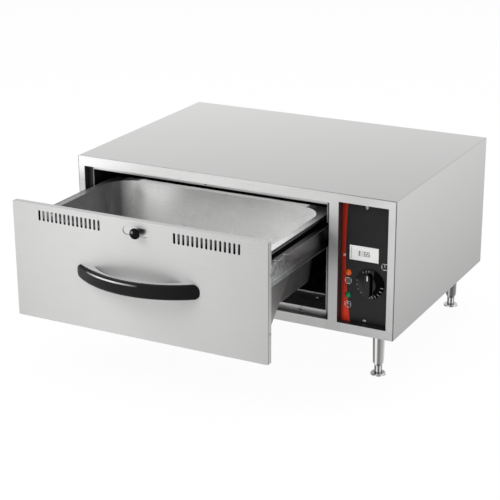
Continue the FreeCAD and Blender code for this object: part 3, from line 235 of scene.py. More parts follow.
def plain_metal(name, colour, rough, grain=260.0, contrast=0.06, relief=0.1, tone=None, metallic=1.0):
    """Metal with an even grain, such as drawn, plated or turned pieces."""
    made = Surface(name, Metallic=metallic)
    fine = made.noise(grain, 3.0)
    both = made.pick(0.5, fine, made.noise(9.0))
    made.mottle(both, colour, contrast, tone and tone(made))
    made.roughness(both, rough - 0.05, rough + 0.07)
    made.bump(fine, relief, GRAIN)
    return made.material


def moulded(name, colour, rough, grain=700.0, contrast=0.12, relief=0.08, **values):
    """Plastic, paint or print with a fine grain."""
    made = Surface(name, **values)
    fine = made.noise(grain)
    both = made.pick(0.5, fine, made.noise(14.0))
    made.mottle(both, colour, contrast)
    made.roughness(both, rough - 0.04, rough + 0.06)
    made.bump(fine, relief, 0.04 * MM)
    return made.material


def mineral_wool():
    """Felted fibres."""
    made = Surface("wool", Roughness=0.95)
    fibres = made.noise(1.0, 5.0, (160.0, 700.0, 700.0), 0.8)
    both = made.pick(0.5, fibres, made.noise(45.0, 3.0))
    made.colour(made.spread(both, 0.0, 1.0), (0.34, 0.28, 0.14), (0.62, 0.55, 0.36))
    made.bump(both, 0.8, 1.5 * MM)
    return made.material


def plated_steel(name, tone=None):
    """Zinc plate: small crystals of slightly different tone."""
    made = Surface(name, Metallic=1.0)
    flakes = made.node("TexVoronoi", {"Vector": made.place.outputs["Object"], "Scale": 240.0}).outputs[1]
    flake = made.node("SeparateXYZ", {"Vector": flakes}).outputs[0]
    fine = made.noise(900.0)
    both = made.pick(0.4, flake, fine)
    made.colour(made.spread(both, 0.0, 1.0), (0.40, 0.41, 0.42), (0.50, 0.50, 0.50), tone and tone(made))
    made.roughness(both, 0.28, 0.42)
    made.bump(fine, 0.1, GRAIN)
    return made.material


def lens(name, colour, deep):
    """Coloured clear plastic with fine flutes inside."""
    made = Surface(name, Coat_Weight=0.4, Coat_Roughness=0.04, Specular_IOR_Level=0.3)
    flutes = made.noise(420.0)
    made.colour(made.spread(flutes, 0.0, 1.0), deep, colour)
    made.roughness(flutes, 0.08, 0.2)
    made.bump(flutes, 0.15, 0.2 * MM)
    return made.material


# ---------------------------------------------------------------- materials: single pieces


def display_glass():
    """A pale display under gloss, with a fine cell pattern."""
    made = Surface("display", Coat_Weight=1.0, Coat_Roughness=0.08)
    cells = made.noise(1.0, 1.0, (1500.0, 1500.0, 1500.0))
    made.colour(made.spread(cells, 0.0, 1.0), (0.74, 0.75, 0.73), (0.82, 0.83, 0.81))
    made.roughness(cells, 0.18, 0.3)
    return made.material


def red_print():
    """Red overlay print, with painted shade from the frame along its left edge and towards the top."""
    made = Surface("print_red", Specular_IOR_Level=0.2)
    low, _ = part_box("control_panel")
    # across and rise are painted shade, deepest at the left edge and towards the top.
    across = made.field("X", low.x + 7 * MM, low.x + 15 * MM, 0.1, 1.0)
    rise = made.field("Z", low.z + 30 * MM, low.z + 90 * MM, 1.0, 0.42)
    grain = made.noise(900.0)
    made.colour(made.pick(0.1, made.times(across, rise), grain), (0.13, 0.005, 0.004), (0.9, 0.055, 0.017))
    made.roughness(grain, 0.34, 0.46)
    return made.material


def handle_gloss():
    """Black plastic with painted highlights: glare on its top and a streak along the left of its outer round.
    """
    made = Surface("handle_gloss", Coat_Roughness=0.05)
    fine = made.noise(500.0)
    low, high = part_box("handle")
    half, reach = (high.x - low.x) / 2, high.y - low.y
    radius = (half ** 2 + reach ** 2) / (2 * reach)
    plan = {0: made.place.outputs["Object"], 1: (1, 1, 0)}
    level = made.node("VectorMath", plan, operation="MULTIPLY").outputs[0]
    out = made.away((low.x + half, low.y + radius, 0), level)
    tilt = made.axis("Normal", "Z")
    level_top, round_foot, round_head = 0.93, 0.04, 0.5
    inside = made.field("X", low.x, low.x + 60 * MM, radius - 4 * MM, radius - 9.5 * MM)
    top = made.times(made.math("GREATER_THAN", tilt, level_top), made.math("LESS_THAN", out, inside))
    outer = made.times(made.math("GREATER_THAN", tilt, round_foot), made.math("LESS_THAN", tilt, round_head))
    fade = made.times(made.field("X", low.x + 35 * MM, low.x + 75 * MM, 0.0, 1.0),
                      made.field("X", low.x + 110 * MM, low.x + 170 * MM, 1.0, 0.0))
    # Painted highlights: on the streak and the glare the colour is raised 105 times and turns metallic.
    highlight_streak = made.times(made.times(outer, made.facing("Y", -1, ROUND)), fade)
    glare, brightness = made.math("MAXIMUM", top, highlight_streak), 105.0
    made.colour(fine, (0.0055, 0.0055, 0.006), (0.009, 0.009, 0.009), made.pick(glare, 1.0, brightness))
    made.roughness(fine, 0.16, 0.24)
    made.feed(made.shader.inputs["Metallic"], made.times(glare, 0.85))
    # Painted sheen: the front's specular level, dim at the left end, strongest past it, fading to the right.
    sheen = made.times(made.field("X", low.x, low.x + 90 * MM, 0.05, 0.15),
                       made.field("X", low.x + 150 * MM, high.x, 1.0, 0.35))
    made.feed(made.shader.inputs["Specular IOR Level"], made.pick(glare, sheen, 0.6))
    return made.material


def knob_gloss():
    """Black plastic with a painted highlight, a small glare at the upper left."""
    made = Surface("knob_gloss", Specular_IOR_Level=0.05)
    fine = made.noise(500.0)
    low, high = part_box("vent_knob")
    # The middle of the painted highlight, up and left of the dome's middle.
    spot = ((low.x + high.x) / 2 - 4 * MM, low.y, (low.z + high.z) / 2 + 3.5 * MM)
    brightness, core, edge = 55.0, 0.8 * MM, 4 * MM
    glare = made.spread(made.away(spot), brightness, 1.0, core, edge)
    made.colour(fine, (0.004, 0.004, 0.004), (0.006, 0.006, 0.006), glare)
    made.roughness(fine, 0.2, 0.3)
    return made.material


def dial_black():
    """Black plastic with painted shade: deepest on the flanks that look to the right."""
    made = Surface("dial_black")
    fine = made.noise(700.0)
    # Painted shade: the flanks that look right take 0.08 of the colour and little specular.
    right = made.math("GREATER_THAN", made.axis("Normal", "X"), 0.12)
    made.colour(fine, (0.014, 0.014, 0.0145), (0.02, 0.02, 0.02), made.pick(right, 1.0, 0.08))
    made.roughness(fine, 0.26, 0.36)
    made.feed(made.shader.inputs["Specular IOR Level"], made.pick(right, 0.25, 0.02))
    return made.material


def shutter_steel():
    """Bright behind the knob's slot; behind the vents painted near black, as shade."""
    made = Surface("shutter_steel")
    low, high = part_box("vent_knob")
    slot_half = 50 * MM
    near = made.math("LESS_THAN", made.off("X", (low.x + high.x) / 2), slot_half)
    streaks = ground(made, "X")
    # Away from the slot the colour drops to 0.02 and the metal turns matt: painted shade behind the vents.
    made.colour(streaks, shade(STEEL, 1.05), shade(STEEL, 1.2), made.pick(near, 0.02, 1.0))
    made.roughness(streaks, 0.26, 0.36)
    made.feed(made.shader.inputs["Metallic"], near)
    made.feed(made.shader.inputs["Specular IOR Level"], made.pick(near, 0.1, 0.5))
    return made.material


# ---------------------------------------------------------------- painted light and shade: levels times a base colour


def casing_painted_light(made):
    """Painted light and shade: lighter at the back left of the top, darker towards the foot of the sides."""
    across = made.field("X", LEFT, RIGHT, 0.0, 0.17)
    deep = made.field("Y", FRONT, BACK, 0.15, 0.0)
    top = made.math("SUBTRACT", 1.10, made.math("ADD", across, deep))
    side = made.field("Z", FOOT, TOP, 0.64, 0.96)
    # On the faces that look forward: painted shade in the seam, and a painted highlight along the top edge.
    edge = made.pick(made.over("Z", TOP - 4 * MM), SHADE, made.field("X", BAY_LEFT, BAY_RIGHT, 1.2, 0.1))
    return made.pick(made.facing("Y", -1), made.pick(made.facing("Z"), side, top), edge)


def frame_painted_light(made):
    """Painted light and shade: light header, darker sill and post, shade on the folds round the windows and the
    rim.
    """
    _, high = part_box("face_frame")
    sill_end, header_start, header_full = 0.32, 0.34, 0.375
    sill, header = made.field("Z", FOOT, sill_end, 0.68, 0.78), made.field("X", -0.05, 0.3, 1.26, 0.83)
    level = made.pick(made.field("Z", header_start, header_full, 0.0, 1.0), sill, header)
    start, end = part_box("cavity_ring")[1].x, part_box("control_panel")[0].x
    post_half = 18 * MM
    # A painted dark reflection partway up the post.
    post_reflection = made.bands(made.field("Z", FOOT, TOP, 0.0, 1.0), (0.0, 0.93), (0.45, 0.93), (0.62, 0.55),
                     (0.7, 0.58), (0.85, 1.0))
    level = made.times(level, made.pick(made.near("X", (start + end) / 2, post_half), 1.0, post_reflection))
    # A painted highlight along the top edge, fading to the right, and painted shade along the outer sides.
    fold = 1.5 * MM
    highlight_edge = made.over("Z", high.z - 1.2 * MM)
    level = made.pick(highlight_edge, level, made.field("X", BAY_LEFT, BAY_RIGHT, 1.18, 0.4))
    side = made.math("GREATER_THAN", made.math("ABSOLUTE", made.axis("Object", "X")), high.x - fold)
    # Painted shade on the folds that don't look forward.
    return made.pick(made.facing("Y", -1), SHADE, made.pick(side, level, 0.3))


def ring_painted_light(made):
    """Painted light and shade: light along the top and the foot, dark at the sides but for their inner edges.
    """
    low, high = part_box("cavity_ring")
    flange = 19.4 * MM
    sides = made.math("GREATER_THAN", made.off("X", (low.x + high.x) / 2), (high.x - low.x) / 2 - flange)
    across = made.pick(sides, made.field("Z", 0.13, 0.36, 0.75, 1.3), 0.16)
    return made.pick(made.facing("Y", -1), 1.0, across)


def guard_painted_light(made):
    """A painted highlight along the guard's front edge; elsewhere darker, as painted shade."""
    low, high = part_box("heater_cover")
    highlight_edge = made.times(made.under("Y", low.y + 1.6 * MM), made.over("Z", high.z - 2.4 * MM))
    return made.pick(highlight_edge, 0.35, 1.5)


def inner_painted_shade(made):
    """Less light further in."""
    return made.field("Y", -0.36, -0.08, 0.75, 0.3)


def tray_painted_shade(made):
    """Painted shade as on the other inner pieces, and painted dark on the side behind the vents and in the
    slots.
    """
    low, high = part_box("vent_shutter")
    level = made.near("Z", (low.z + high.z) / 2, (high.z - low.z) / 2)
    slots = made.times(level, made.pick(made.facing("Y"), 1.0, 0.0))
    return made.pick(made.math("MAXIMUM", slots, made.facing("Y", -1)), inner_painted_shade(made), 0.02)


def leg_painted_light(made):
    """Painted reflections: streaks down the legs as polished steel mirrors a room, and darker at the back."""
    streaks = made.bands(made.round_about(), (0.0, 0.2), (0.12, 0.2), (0.18, 0.95), (0.28, 0.97), (0.37, 0.24),
                         (0.54, 0.22), (0.66, 0.42), (0.82, 0.46), (0.9, 0.8), (1.0, 0.8))
    return made.times(streaks, made.field("Y", 0.1, 0.3, 1.9, 1.0))


def foot_painted_light(made):
    """Painted reflections: the dark and light bars that polished feet mirror, lighter from above."""
    bars = made.bands(made.round_about(), (0.0, 0.1), (0.16, 0.14), (0.24, 0.9), (0.32, 0.9), (0.42, 0.1),
                      (0.58, 0.12), (0.68, 0.85), (0.78, 0.8), (0.88, 0.14), (1.0, 0.3))
    return made.pick(made.facing("Z", least=0.5), bars, made.pick(0.55, bars, 1.0))


def front_painted_light(made):
    """Painted light and shade: brightest left of the middle, darker to the right, on the edges and in the
    cut-outs.
    """
    start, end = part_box("drawer_front")
    brightest, near_by, far_off = -0.14, 0.03, 0.37
    foot, head = 0.12, 0.34
    sheet, rim = 1.6 * MM, 4 * MM
    wide = made.spread(made.off("X", brightest), 1.05, 0.80, near_by, far_off)
    flat = made.pick(made.facing("Z"), made.times(wide, made.field("Z", foot, head, 0.92, 1.0)), 0.62)
    fold = made.pick(made.under("Y", start.y + sheet), 0.68, 0.2)
    around = made.pick(made.sideways(), flat, fold)
    from_middle = made.off("X", (start.x + end.x) / 2)
    within = made.math("LESS_THAN", from_middle, (end.x - start.x) / 2 - rim)
    turned_away = made.pick(made.facing("Y", -1, 0.9), 1.0, 0.0)
    cut = made.times(made.times(within, made.under("Z", end.z - rim)), turned_away)
    return made.pick(cut, around, 0.03)


def rail_painted_light(made):
    """Painted light and shade: dark upper faces, a highlight along the lower fold, and a fall of light into the
    cabinet.
    """
    low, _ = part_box("drawer_rail_right")
    line_middle, line_half = low.z + 2.5 * MM, 0.9 * MM
    inwards = made.field("Y", -0.32, -0.12, 1.5, 0.3)
    upper = made.pick(made.over("Z", low.z + 10 * MM), 0.9, 0.12)
    web = made.pick(made.facing("Z"), 0.8, upper)
    return made.times(inwards, made.pick(made.near("Z", line_middle, line_half), web, 1.4))


def pan_painted_light(made):
    """Painted light and shade: dark left wall, light far corners, dim outside; the rim light at the back, dark
    left and near.
    """
    low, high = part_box("food_pan")
    along = made.field("X", low.x + 60 * MM, high.x - 20 * MM, 0.0, 1.0)
    back = made.times(made.bands(along, (0.0, 0.78), (0.08, 1.0), (0.2, 0.98), (0.4, 0.9), (0.65, 0.9),
                                 (0.85, 1.0)), 1.16)
    glint = made.times(made.spread(made.axis("Normal", "X"), 0.0, 1.0, 0.05, 0.25),
                       made.field("Z", high.z - 60 * MM, high.z - 10 * MM, 0.0, 1.0))
    inner = made.pick(glint, back, 1.15)
    inner = made.pick(made.spread(made.axis("Normal", "X"), 0.0, 1.0, 0.3, 0.75), inner, 0.13)
    foot = made.times(made.facing("Z"), made.under("Z", low.z + 30 * MM))
    inner = made.pick(foot, inner, 0.6)
    rim = made.times(made.facing("Z"), made.over("Z", high.z - 3 * MM))
    inner = made.pick(made.pick(rim, 0.0, 0.8), inner, 0.7)
    inner = made.pick(made.times(rim, made.under("X", low.x + 30 * MM)), inner, 0.2)
    inner = made.pick(made.times(rim, made.under("Y", low.y + 22 * MM)), inner, 0.1)
    straight = made.times(made.field("X", low.x + 30 * MM, low.x + 70 * MM, 0.0, 1.0),
                          made.field("X", high.x - 60 * MM, high.x - 35 * MM, 1.0, 0.0))
    far = made.times(made.times(rim, made.over("Y", high.y - 15 * MM)), straight)
    inner = made.pick(far, inner, 1.16)
    wall = made.times(made.facing("Y", -1, ROUND), made.over("Y", high.y - 60 * MM))
    corners = made.bands(along, (0.0, 0.5), (0.06, 1.0), (0.15, 0.9), (0.33, 0.22), (0.6, 0.08), (0.8, 0.6),
                         (0.95, 0.7))
    lean(made, made.math("MAXIMUM", far, made.times(wall, corners)))
    outside = made.times(made.facing("Y", -1, ROUND), made.under("Y", low.y + 45 * MM))
    return made.pick(outside, inner, SHADE)


def lean(made, mask):
    """The masked faces lean forward in their shading, as rolled or drafted ones, and catch the room."""
    forward = (0.0, -0.95, 0.31)
    upright = made.node("NewGeometry").outputs["Normal"]
    made.leaning = made.node("Mix", {0: mask, 4: upright, 5: forward}, data_type="VECTOR").outputs[1]


# ---------------------------------------------------------------- materials: which piece has which

# Painted light and shade: the lighter and darker copies of STEEL below and the frame's and ring's paler steels.
STEEL = (0.62, 0.62, 0.615)
MATERIALS = {
    "brushed_stainless": brushed_metal("brushed_stainless", STEEL, 0.36),
    "inner_steel": brushed_metal("inner_steel", shade(STEEL, 0.8), 0.33, inner_painted_shade),
    "pan_steel": plain_metal("pan_steel", (0.86, 0.86, 0.855), 0.26, grain=1400.0, contrast=0.02, relief=0.01,
                             tone=pan_painted_light, metallic=0.5),
    # The liner's near black is painted shade: it stands in for the deep shade of the cavity.
    "dark_liner": moulded("dark_liner", (0.02, 0.02, 0.02), 0.55, grain=300.0, relief=0.2),
    "black_plastic": moulded("black_plastic", (0.005, 0.005, 0.005), 0.22, Specular_IOR_Level=0.1),
    "charcoal_panel": moulded("charcoal_panel", (0.016, 0.016, 0.017), 0.42, grain=1200.0,
                              Specular_IOR_Level=0.25),
    "meter_white": moulded("meter_white", (0.93, 0.93, 0.92), 0.35, contrast=0.02),
    "meter_glass": display_glass(),
    "green_lens": lens("green_lens", (0.004, 0.26, 0.10), (0.001, 0.10, 0.04)),
    "orange_lens": lens("orange_lens", (0.95, 0.16, 0.008), (0.55, 0.05, 0.002)),
    "housing_black": moulded("housing_black", (0.018, 0.018, 0.019), 0.5),
    "plated_steel": plated_steel("plated"),
    "screw_steel": plain_metal("screw_steel", (0.42, 0.42, 0.415), 0.2, grain=900.0),
    "nylon_roller": moulded("nylon_roller", (0.72, 0.70, 0.64), 0.4, contrast=0.05),
    "element_sheath": plain_metal("element_sheath", (0.10, 0.085, 0.07), 0.5, contrast=0.25),
    "copper_probe": plain_metal("copper_probe", (0.66, 0.33, 0.18), 0.3, contrast=0.15),
    "mineral_wool": mineral_wool(),
    "foot_chrome": plain_metal("foot_chrome", (0.9, 0.9, 0.9), 0.2, grain=900.0, contrast=0.03, tone=foot_painted_light),
}
OWN = {
    "outer_casing": brushed_metal("casing_steel", STEEL, 0.34, casing_painted_light),
    "face_frame": brushed_metal("frame_steel", (0.84, 0.84, 0.835), 0.3, frame_painted_light, metallic=0.2),
    "cavity_ring": brushed_metal("ring_steel", (0.74, 0.74, 0.735), 0.3, ring_painted_light, metallic=0.6),
    "vent_shutter": shutter_steel(),
    "drawer_front": brushed_metal("front_steel", shade(STEEL, 1.03), 0.36, front_painted_light, metallic=0.3),
    "heater_cover": brushed_metal("guard_steel", STEEL, 0.3, guard_painted_light),
    "drawer_front_inner": brushed_metal("tray_steel", shade(STEEL, 0.8), 0.33, tray_painted_shade),
    "legs": brushed_metal("leg_steel", shade(STEEL, 0.75), 0.25, leg_painted_light),
    "handle": handle_gloss(),
    "vent_knob": knob_gloss(),
    "drawer_rail_left": plated_steel("rail_plated", rail_painted_light),
}
OWN["drawer_rail_right"] = OWN["drawer_rail_left"]
PRINT_WHITE = moulded("print_white", (0.86, 0.86, 0.86), 0.4, contrast=0.06)
DIAL_BLACK = dial_black()
PRINT_GREY = moulded("print_grey", (0.46, 0.46, 0.46), 0.4, contrast=0.06)
PRINT_DARK = moulded("print_dark", (0.03, 0.03, 0.03), 0.4)
PRINT_RED = red_print()

for item in frame["record"]["subparts"]:
    carrier = NODES[item["node"]].data
    for index in range(len(carrier.materials)):
        carrier.materials[index] = OWN.get(item["node"], MATERIALS[item["material_slot"]])

# ---------------------------------------------------------------- ways of making pieces

# Metres between vertices that are one: in a CAD mesh, in a piece made here, and a point from an axis.
SAME_SPOT, SAME_VERTEX, ON_AXIS = 1e-6, 1e-7, 1e-9
EDGE_ANGLE = math.radians(50)


def placed(name, data):
    """An object in the scene."""
    item = bpy.data.objects.new(name, data)
    bpy.context.scene.collection.objects.link(item)
    return item


def add(name, mesh, material, body):
    """An object of the scene that rides on a body."""
    piece = placed(name, mesh)
    mesh.materials.clear()
    mesh.materials.append(material)
    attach(piece, body)
    return piece


def smooth(mesh, angle=35):
    """Soft shading but for the edges sharper than an angle in degrees."""
    mesh.shade_smooth()
    mesh.set_sharp_from_angle(angle=math.radians(angle))
    return mesh


def finished(name, work):
    """A bmesh as a mesh with faces turned outwards."""
    bmesh.ops.remove_doubles(work, verts=work.verts, dist=SAME_VERTEX)
    bmesh.ops.recalc_face_normals(work, faces=work.faces)
    mesh = bpy.data.meshes.new(name)
    work.to_mesh(mesh)
    work.free()
    return mesh


def soften(piece, width, segments):
    """A bevel along a piece's sharp edges."""
    bevel = piece.modifiers.new("edges", "BEVEL")
    bevel.width = width
    bevel.segments = segments
    bevel.limit_method = "ANGLE"
    bevel.angle_limit = EDGE_ANGLE
    bevel.harden_normals = True


def turned(work, profile, centre, axis, steps=64):
    """A closed profile of (radius, height) pairs turned about an axis through a centre."""
    turn = Vector((0, 0, 1)).rotation_difference(Vector(axis)).to_matrix()
    rings = []
    for radius, height in profile:
        if radius < ON_AXIS:
            rings.append([work.verts.new(Vector(centre) + turn @ Vector((0, 0, height)))])
            continue
        spots = [Vector((radius * math.cos(angle), radius * math.sin(angle), height))
                 for angle in (2 * math.pi * step / steps for step in range(steps))]
        rings.append([work.verts.new(Vector(centre) + turn @ spot) for spot in spots])
    for first, second in zip(rings, rings[1:]):
        for step in range(steps):
            after = (step + 1) % steps
            corners = (first[step % len(first)], first[after % len(first)],
                       second[after % len(second)], second[step % len(second)])
            face = list(dict.fromkeys(corners))
            if len(face) > 2:
                work.faces.new(face)


def loft(work, near, near_y, far, far_y):
    """Two flat outlines of as many (x, z) pairs joined into a solid between two depths."""
    front = [work.verts.new((x, near_y, z)) for x, z in near]
    back = [work.verts.new((x, far_y, z)) for x, z in far]
    work.faces.new(front)
    work.faces.new(back[::-1])
    count = len(near)
    for index in range(count):
        after = (index + 1) % count
        work.faces.new((front[index], back[index], back[after], front[after]))


def prism(work, outline, near_y, far_y):
    """A flat outline of (x, z) pairs made solid between two depths."""
    loft(work, outline, near_y, outline, far_y)


PRINT_THICK = 0.12 * MM


def printed(name, outlines, depth, material, body, coats=1, fall=None):
    """Ink: thin solids of the outlines given, standing on a face that looks along minus Y."""
    work = bmesh.new()
    for outline in outlines:
        prism(work, outline, depth - PRINT_THICK * coats, depth + PRINT_THICK)
    if fall:
        for vert in work.verts:
            vert.co.y += fall(vert.co.x, vert.co.z)
    return add(name, finished(name, work), material, body)


def stroke(points, width, closed=False):
    """Outlines that draw a line of some width through points, one for each run."""
    following = points[1:] + (points[:1] if closed else [])
    outlines = []
    for (x, z), (u, w) in zip(points, following):
        along = Vector((u - x, w - z)).normalized() * width / 2
        side = Vector((-along.y, along.x))
        outlines.append([(x - along.x + side.x, z - along.y + side.y),
                         (x - along.x - side.x, z - along.y - side.y),
                         (u + along.x - side.x, w + along.y - side.y),
                         (u + along.x + side.x, w + along.y + side.y)])
    return outlines


def arc_points(x, z, radius, start, end, steps=16):
    """Points along an arc, angles in degrees."""
    angles = [math.radians(start + (end - start) * step / steps) for step in range(steps + 1)]
    return [(x + radius * math.cos(angle), z + radius * math.sin(angle)) for angle in angles]


def rounded_box(x, z, half_x, half_z, radius, steps=5):
    """The outline of a rectangle with round corners."""
    corners = ((half_x, half_z, 0), (-half_x, half_z, 90), (-half_x, -half_z, 180), (half_x, -half_z, 270))
    spots = []
    for reach_x, reach_z, start in corners:
        inner_x = x + reach_x - math.copysign(radius, reach_x)
        inner_z = z + reach_z - math.copysign(radius, reach_z)
        spots += arc_points(inner_x, inner_z, radius, start, start + 90, steps)
    return spots


# ---------------------------------------------------------------- sheet edges

# The round along each sheet's edges, in millimetres.
SHEETS = {"outer_casing": 0.3, "face_frame": 0.25, "base_pan": 0.25, "cavity_ring": 0.2,
          "drawer_front_inner": 0.2, "pan_support_left": 0.3, "pan_support_right": 0.3,
          "drawer_rail_left": 0.4, "drawer_rail_right": 0.4, "cabinet_track_left": 0.4,
          "cabinet_track_right": 0.4, "drawer_gusset_left": 0.4, "drawer_gusset_right": 0.4,
          "front_cross_bar": 0.3, "rear_cross_bar": 0.3, "control_panel": 0.2, "heater_cover": 0.25,
          "terminal_block": 0.6, "element_brackets": 0.5, "gland_nut": 0.4, "leg_nuts": 0.4}


def soft_shading():
    """Modifier nodes that shade a mesh softly and pass over its stored normals, which a bevel makes anew."""
    group = bpy.data.node_groups.new("soft_shading", "GeometryNodeTree")
    for way in ("INPUT", "OUTPUT"):
        group.interface.new_socket("Geometry", in_out=way, socket_type="NodeSocketGeometry")
    start, end = group.nodes.new("NodeGroupInput"), group.nodes.new("NodeGroupOutput")
    without = group.nodes.new("GeometryNodeRemoveAttribute")
    without.inputs["Name"].default_value = "custom_normal"
    soft = group.nodes.new("GeometryNodeSetShadeSmooth")
    for before, after in ((start, without), (without, soft), (soft, end)):
        group.links.new(before.outputs[0], after.inputs[0])
    return group


SOFT_SHADING = soft_shading()


def break_edges(node, width):
    """A small round along the sharp edges of a CAD node, by modifiers alone."""
    NODES[node].modifiers.new("shading", "NODES").node_group = SOFT_SHADING
    weld = NODES[node].modifiers.new("weld", "WELD")
    weld.merge_threshold = SAME_SPOT
    soften(NODES[node], width * MM, 2)


for sheet, edge in SHEETS.items():
    break_edges(sheet, edge)

# ---------------------------------------------------------------- screws

SCREW_HEAD, SCREW_TALL = 4 * MM, 1.6 * MM
SIDE_HEAD, SIDE_TALL = 3 * MM, 1.2 * MM


def cross_head(radius, height):
    """A pan head with a cross recess, its seat at the origin and its top along Z."""
    work = bmesh.new()
    edge, foot, crown = 0.3, 0.35, 0.65
    rise = [(math.cos(step * math.pi / 12), math.sin(step * math.pi / 12)) for step in range(1, 6)]
    dome = [(radius * level, height * (foot + crown * up)) for level, up in rise]
    turned(work, [(0, 0), (radius, 0), (radius, height * edge), *dome, (0, height)], (0, 0, 0), (0, 0, 1), 40)
    head = placed("head", finished("head", work))
    work = bmesh.new()
    arm, slot, floor_at, clear = radius * 0.62, radius * 0.13, height * 0.45, height * 2
    outline = [(slot, slot), (arm, slot), (arm, -slot), (slot, -slot), (slot, -arm), (-slot, -arm),
               (-slot, -slot), (-arm, -slot), (-arm, slot), (-slot, slot), (-slot, arm), (slot, arm)]
    prism(work, outline, floor_at, clear)
    for vert in work.verts:
        vert.co = Vector((vert.co.x, vert.co.z, vert.co.y))
    cutter = placed("recess", finished("recess", work))
    cut = head.modifiers.new("cut", "BOOLEAN")
    cut.operation = "DIFFERENCE"
    cut.solver = "EXACT"
    cut.object = cutter
    ready = head.evaluated_get(bpy.context.evaluated_depsgraph_get())
    mesh = bpy.data.meshes.new_from_object(ready)
    for item in (head, cutter):
        bpy.data.objects.remove(item)
    return mesh


def screws(node, spots, axis, radius, height, body):
    """Cross-headed screws in place of a CAD node's plain ones, each turned to its own angle."""
    head = cross_head(radius, height)
    first, further = 23, 67
    work = bmesh.new()
    for number, spot in enumerate(spots):
        spin = Matrix.Rotation(math.radians(first + further * number), 3, "Z")
        turn = Vector((0, 0, 1)).rotation_difference(Vector(axis(spot))).to_matrix() @ spin
        copy = head.copy()
        copy.transform(Matrix.Translation(spot) @ turn.to_4x4())
        work.from_mesh(copy)
    name = node + "_crossed"
    piece = add(name, smooth(finished(name, work)), MATERIALS["screw_steel"], body)
    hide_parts(node)


def solids_of(node):
    """The box of each separate solid of a CAD node, as pairs of corners."""
    work = bmesh.new()
    work.from_mesh(NODES[node].data)
    bmesh.ops.remove_doubles(work, verts=work.verts, dist=SAME_SPOT)
    left = set(work.verts)
    boxes = []
    while left:
        group, edge = set(), {left.pop()}
        while edge:
            group |= edge
            edge = {link.other_vert(vert) for vert in edge for link in vert.link_edges} - group
        left -= group
        spans = [[vert.co[way] for vert in group] for way in range(3)]
        boxes.append((Vector(min(span) for span in spans), Vector(max(span) for span in spans)))
    work.free()
    return sorted(boxes, key=lambda box: tuple(box[0]))


def along_y(node, sign):
    """The seats of screws driven along Y, heads on the side of the sign."""
    seats = []
    for low, high in solids_of(node):
        tip = high.y if sign > 0 else low.y
        seats.append(Vector(((low.x + high.x) / 2, tip - sign * SCREW_TALL, (low.z + high.z) / 2)))
    return seats


RAIL_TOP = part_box("drawer_rail_right")[1].z


def fixing_seats():
    """The seats of the drawer's screws: on the rails' upper folds and on the front's sides."""
    front_low, front_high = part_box("drawer_front")
    seats = []
    for low, high in solids_of("drawer_fixings"):
        middle = (low + high) / 2
        if high.z > RAIL_TOP > low.z - MM:
            seats.append(Vector((middle.x, middle.y, RAIL_TOP)))
        else:
            seats.append(Vector((front_low.x if middle.x < 0 else front_high.x, middle.y, middle.z)))
    return seats


def fixing_axis(spot):
    """The way a drawer fixing's head looks."""
    if abs(spot.z - RAIL_TOP) < SAME_SPOT:
        return 0, 0, 1
    return (1 if spot.x > 0 else -1), 0, 0


screws("front_screws", along_y("front_screws", -1), lambda spot: (0, -1, 0), SCREW_HEAD, SCREW_TALL, "cabinet")
screws("rear_panel_screws", along_y("rear_panel_screws", 1), lambda spot: (0, 1, 0), SCREW_HEAD, SCREW_TALL,
       "cabinet")
screws("drawer_fixings", fixing_seats(), fixing_axis, SIDE_HEAD, SIDE_TALL, "drawer")

# ---------------------------------------------------------------- control bay

PANEL_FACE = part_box("control_panel")[0].y


def pilot_lamp(node, material_name):
    """A smooth domed lens with a step where it leaves the panel. Gives the lens's middle."""
    low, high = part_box(node)
    centre = ((low.x + high.x) / 2, PANEL_FACE, (low.z + high.z) / 2)
    radius, dome = (high.x - low.x) / 2, PANEL_FACE - low.y
    edge, waist, foot, crown, steps = 0.2, 0.9, 0.25, 0.75, 10
    profile = [(0, 0), (radius, 0), (radius, dome * edge)]
    for step in range(1, steps + 1):
        angle = math.pi / 2 * step / steps
        profile.append((radius * waist * math.cos(angle), dome * (foot + crown * math.sin(angle))))
    profile[-1] = (0, dome)
    work = bmesh.new()
    turned(work, profile, centre, (0, -1, 0))
    piece = add(node + "_lens", smooth(finished(node + "_lens", work), 50), MATERIALS[material_name], "cabinet")
    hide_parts(node)
    return centre


GREEN_AT = pilot_lamp("power_lamp", "green_lens")
ORANGE_AT = pilot_lamp("heat_lamp", "orange_lens")


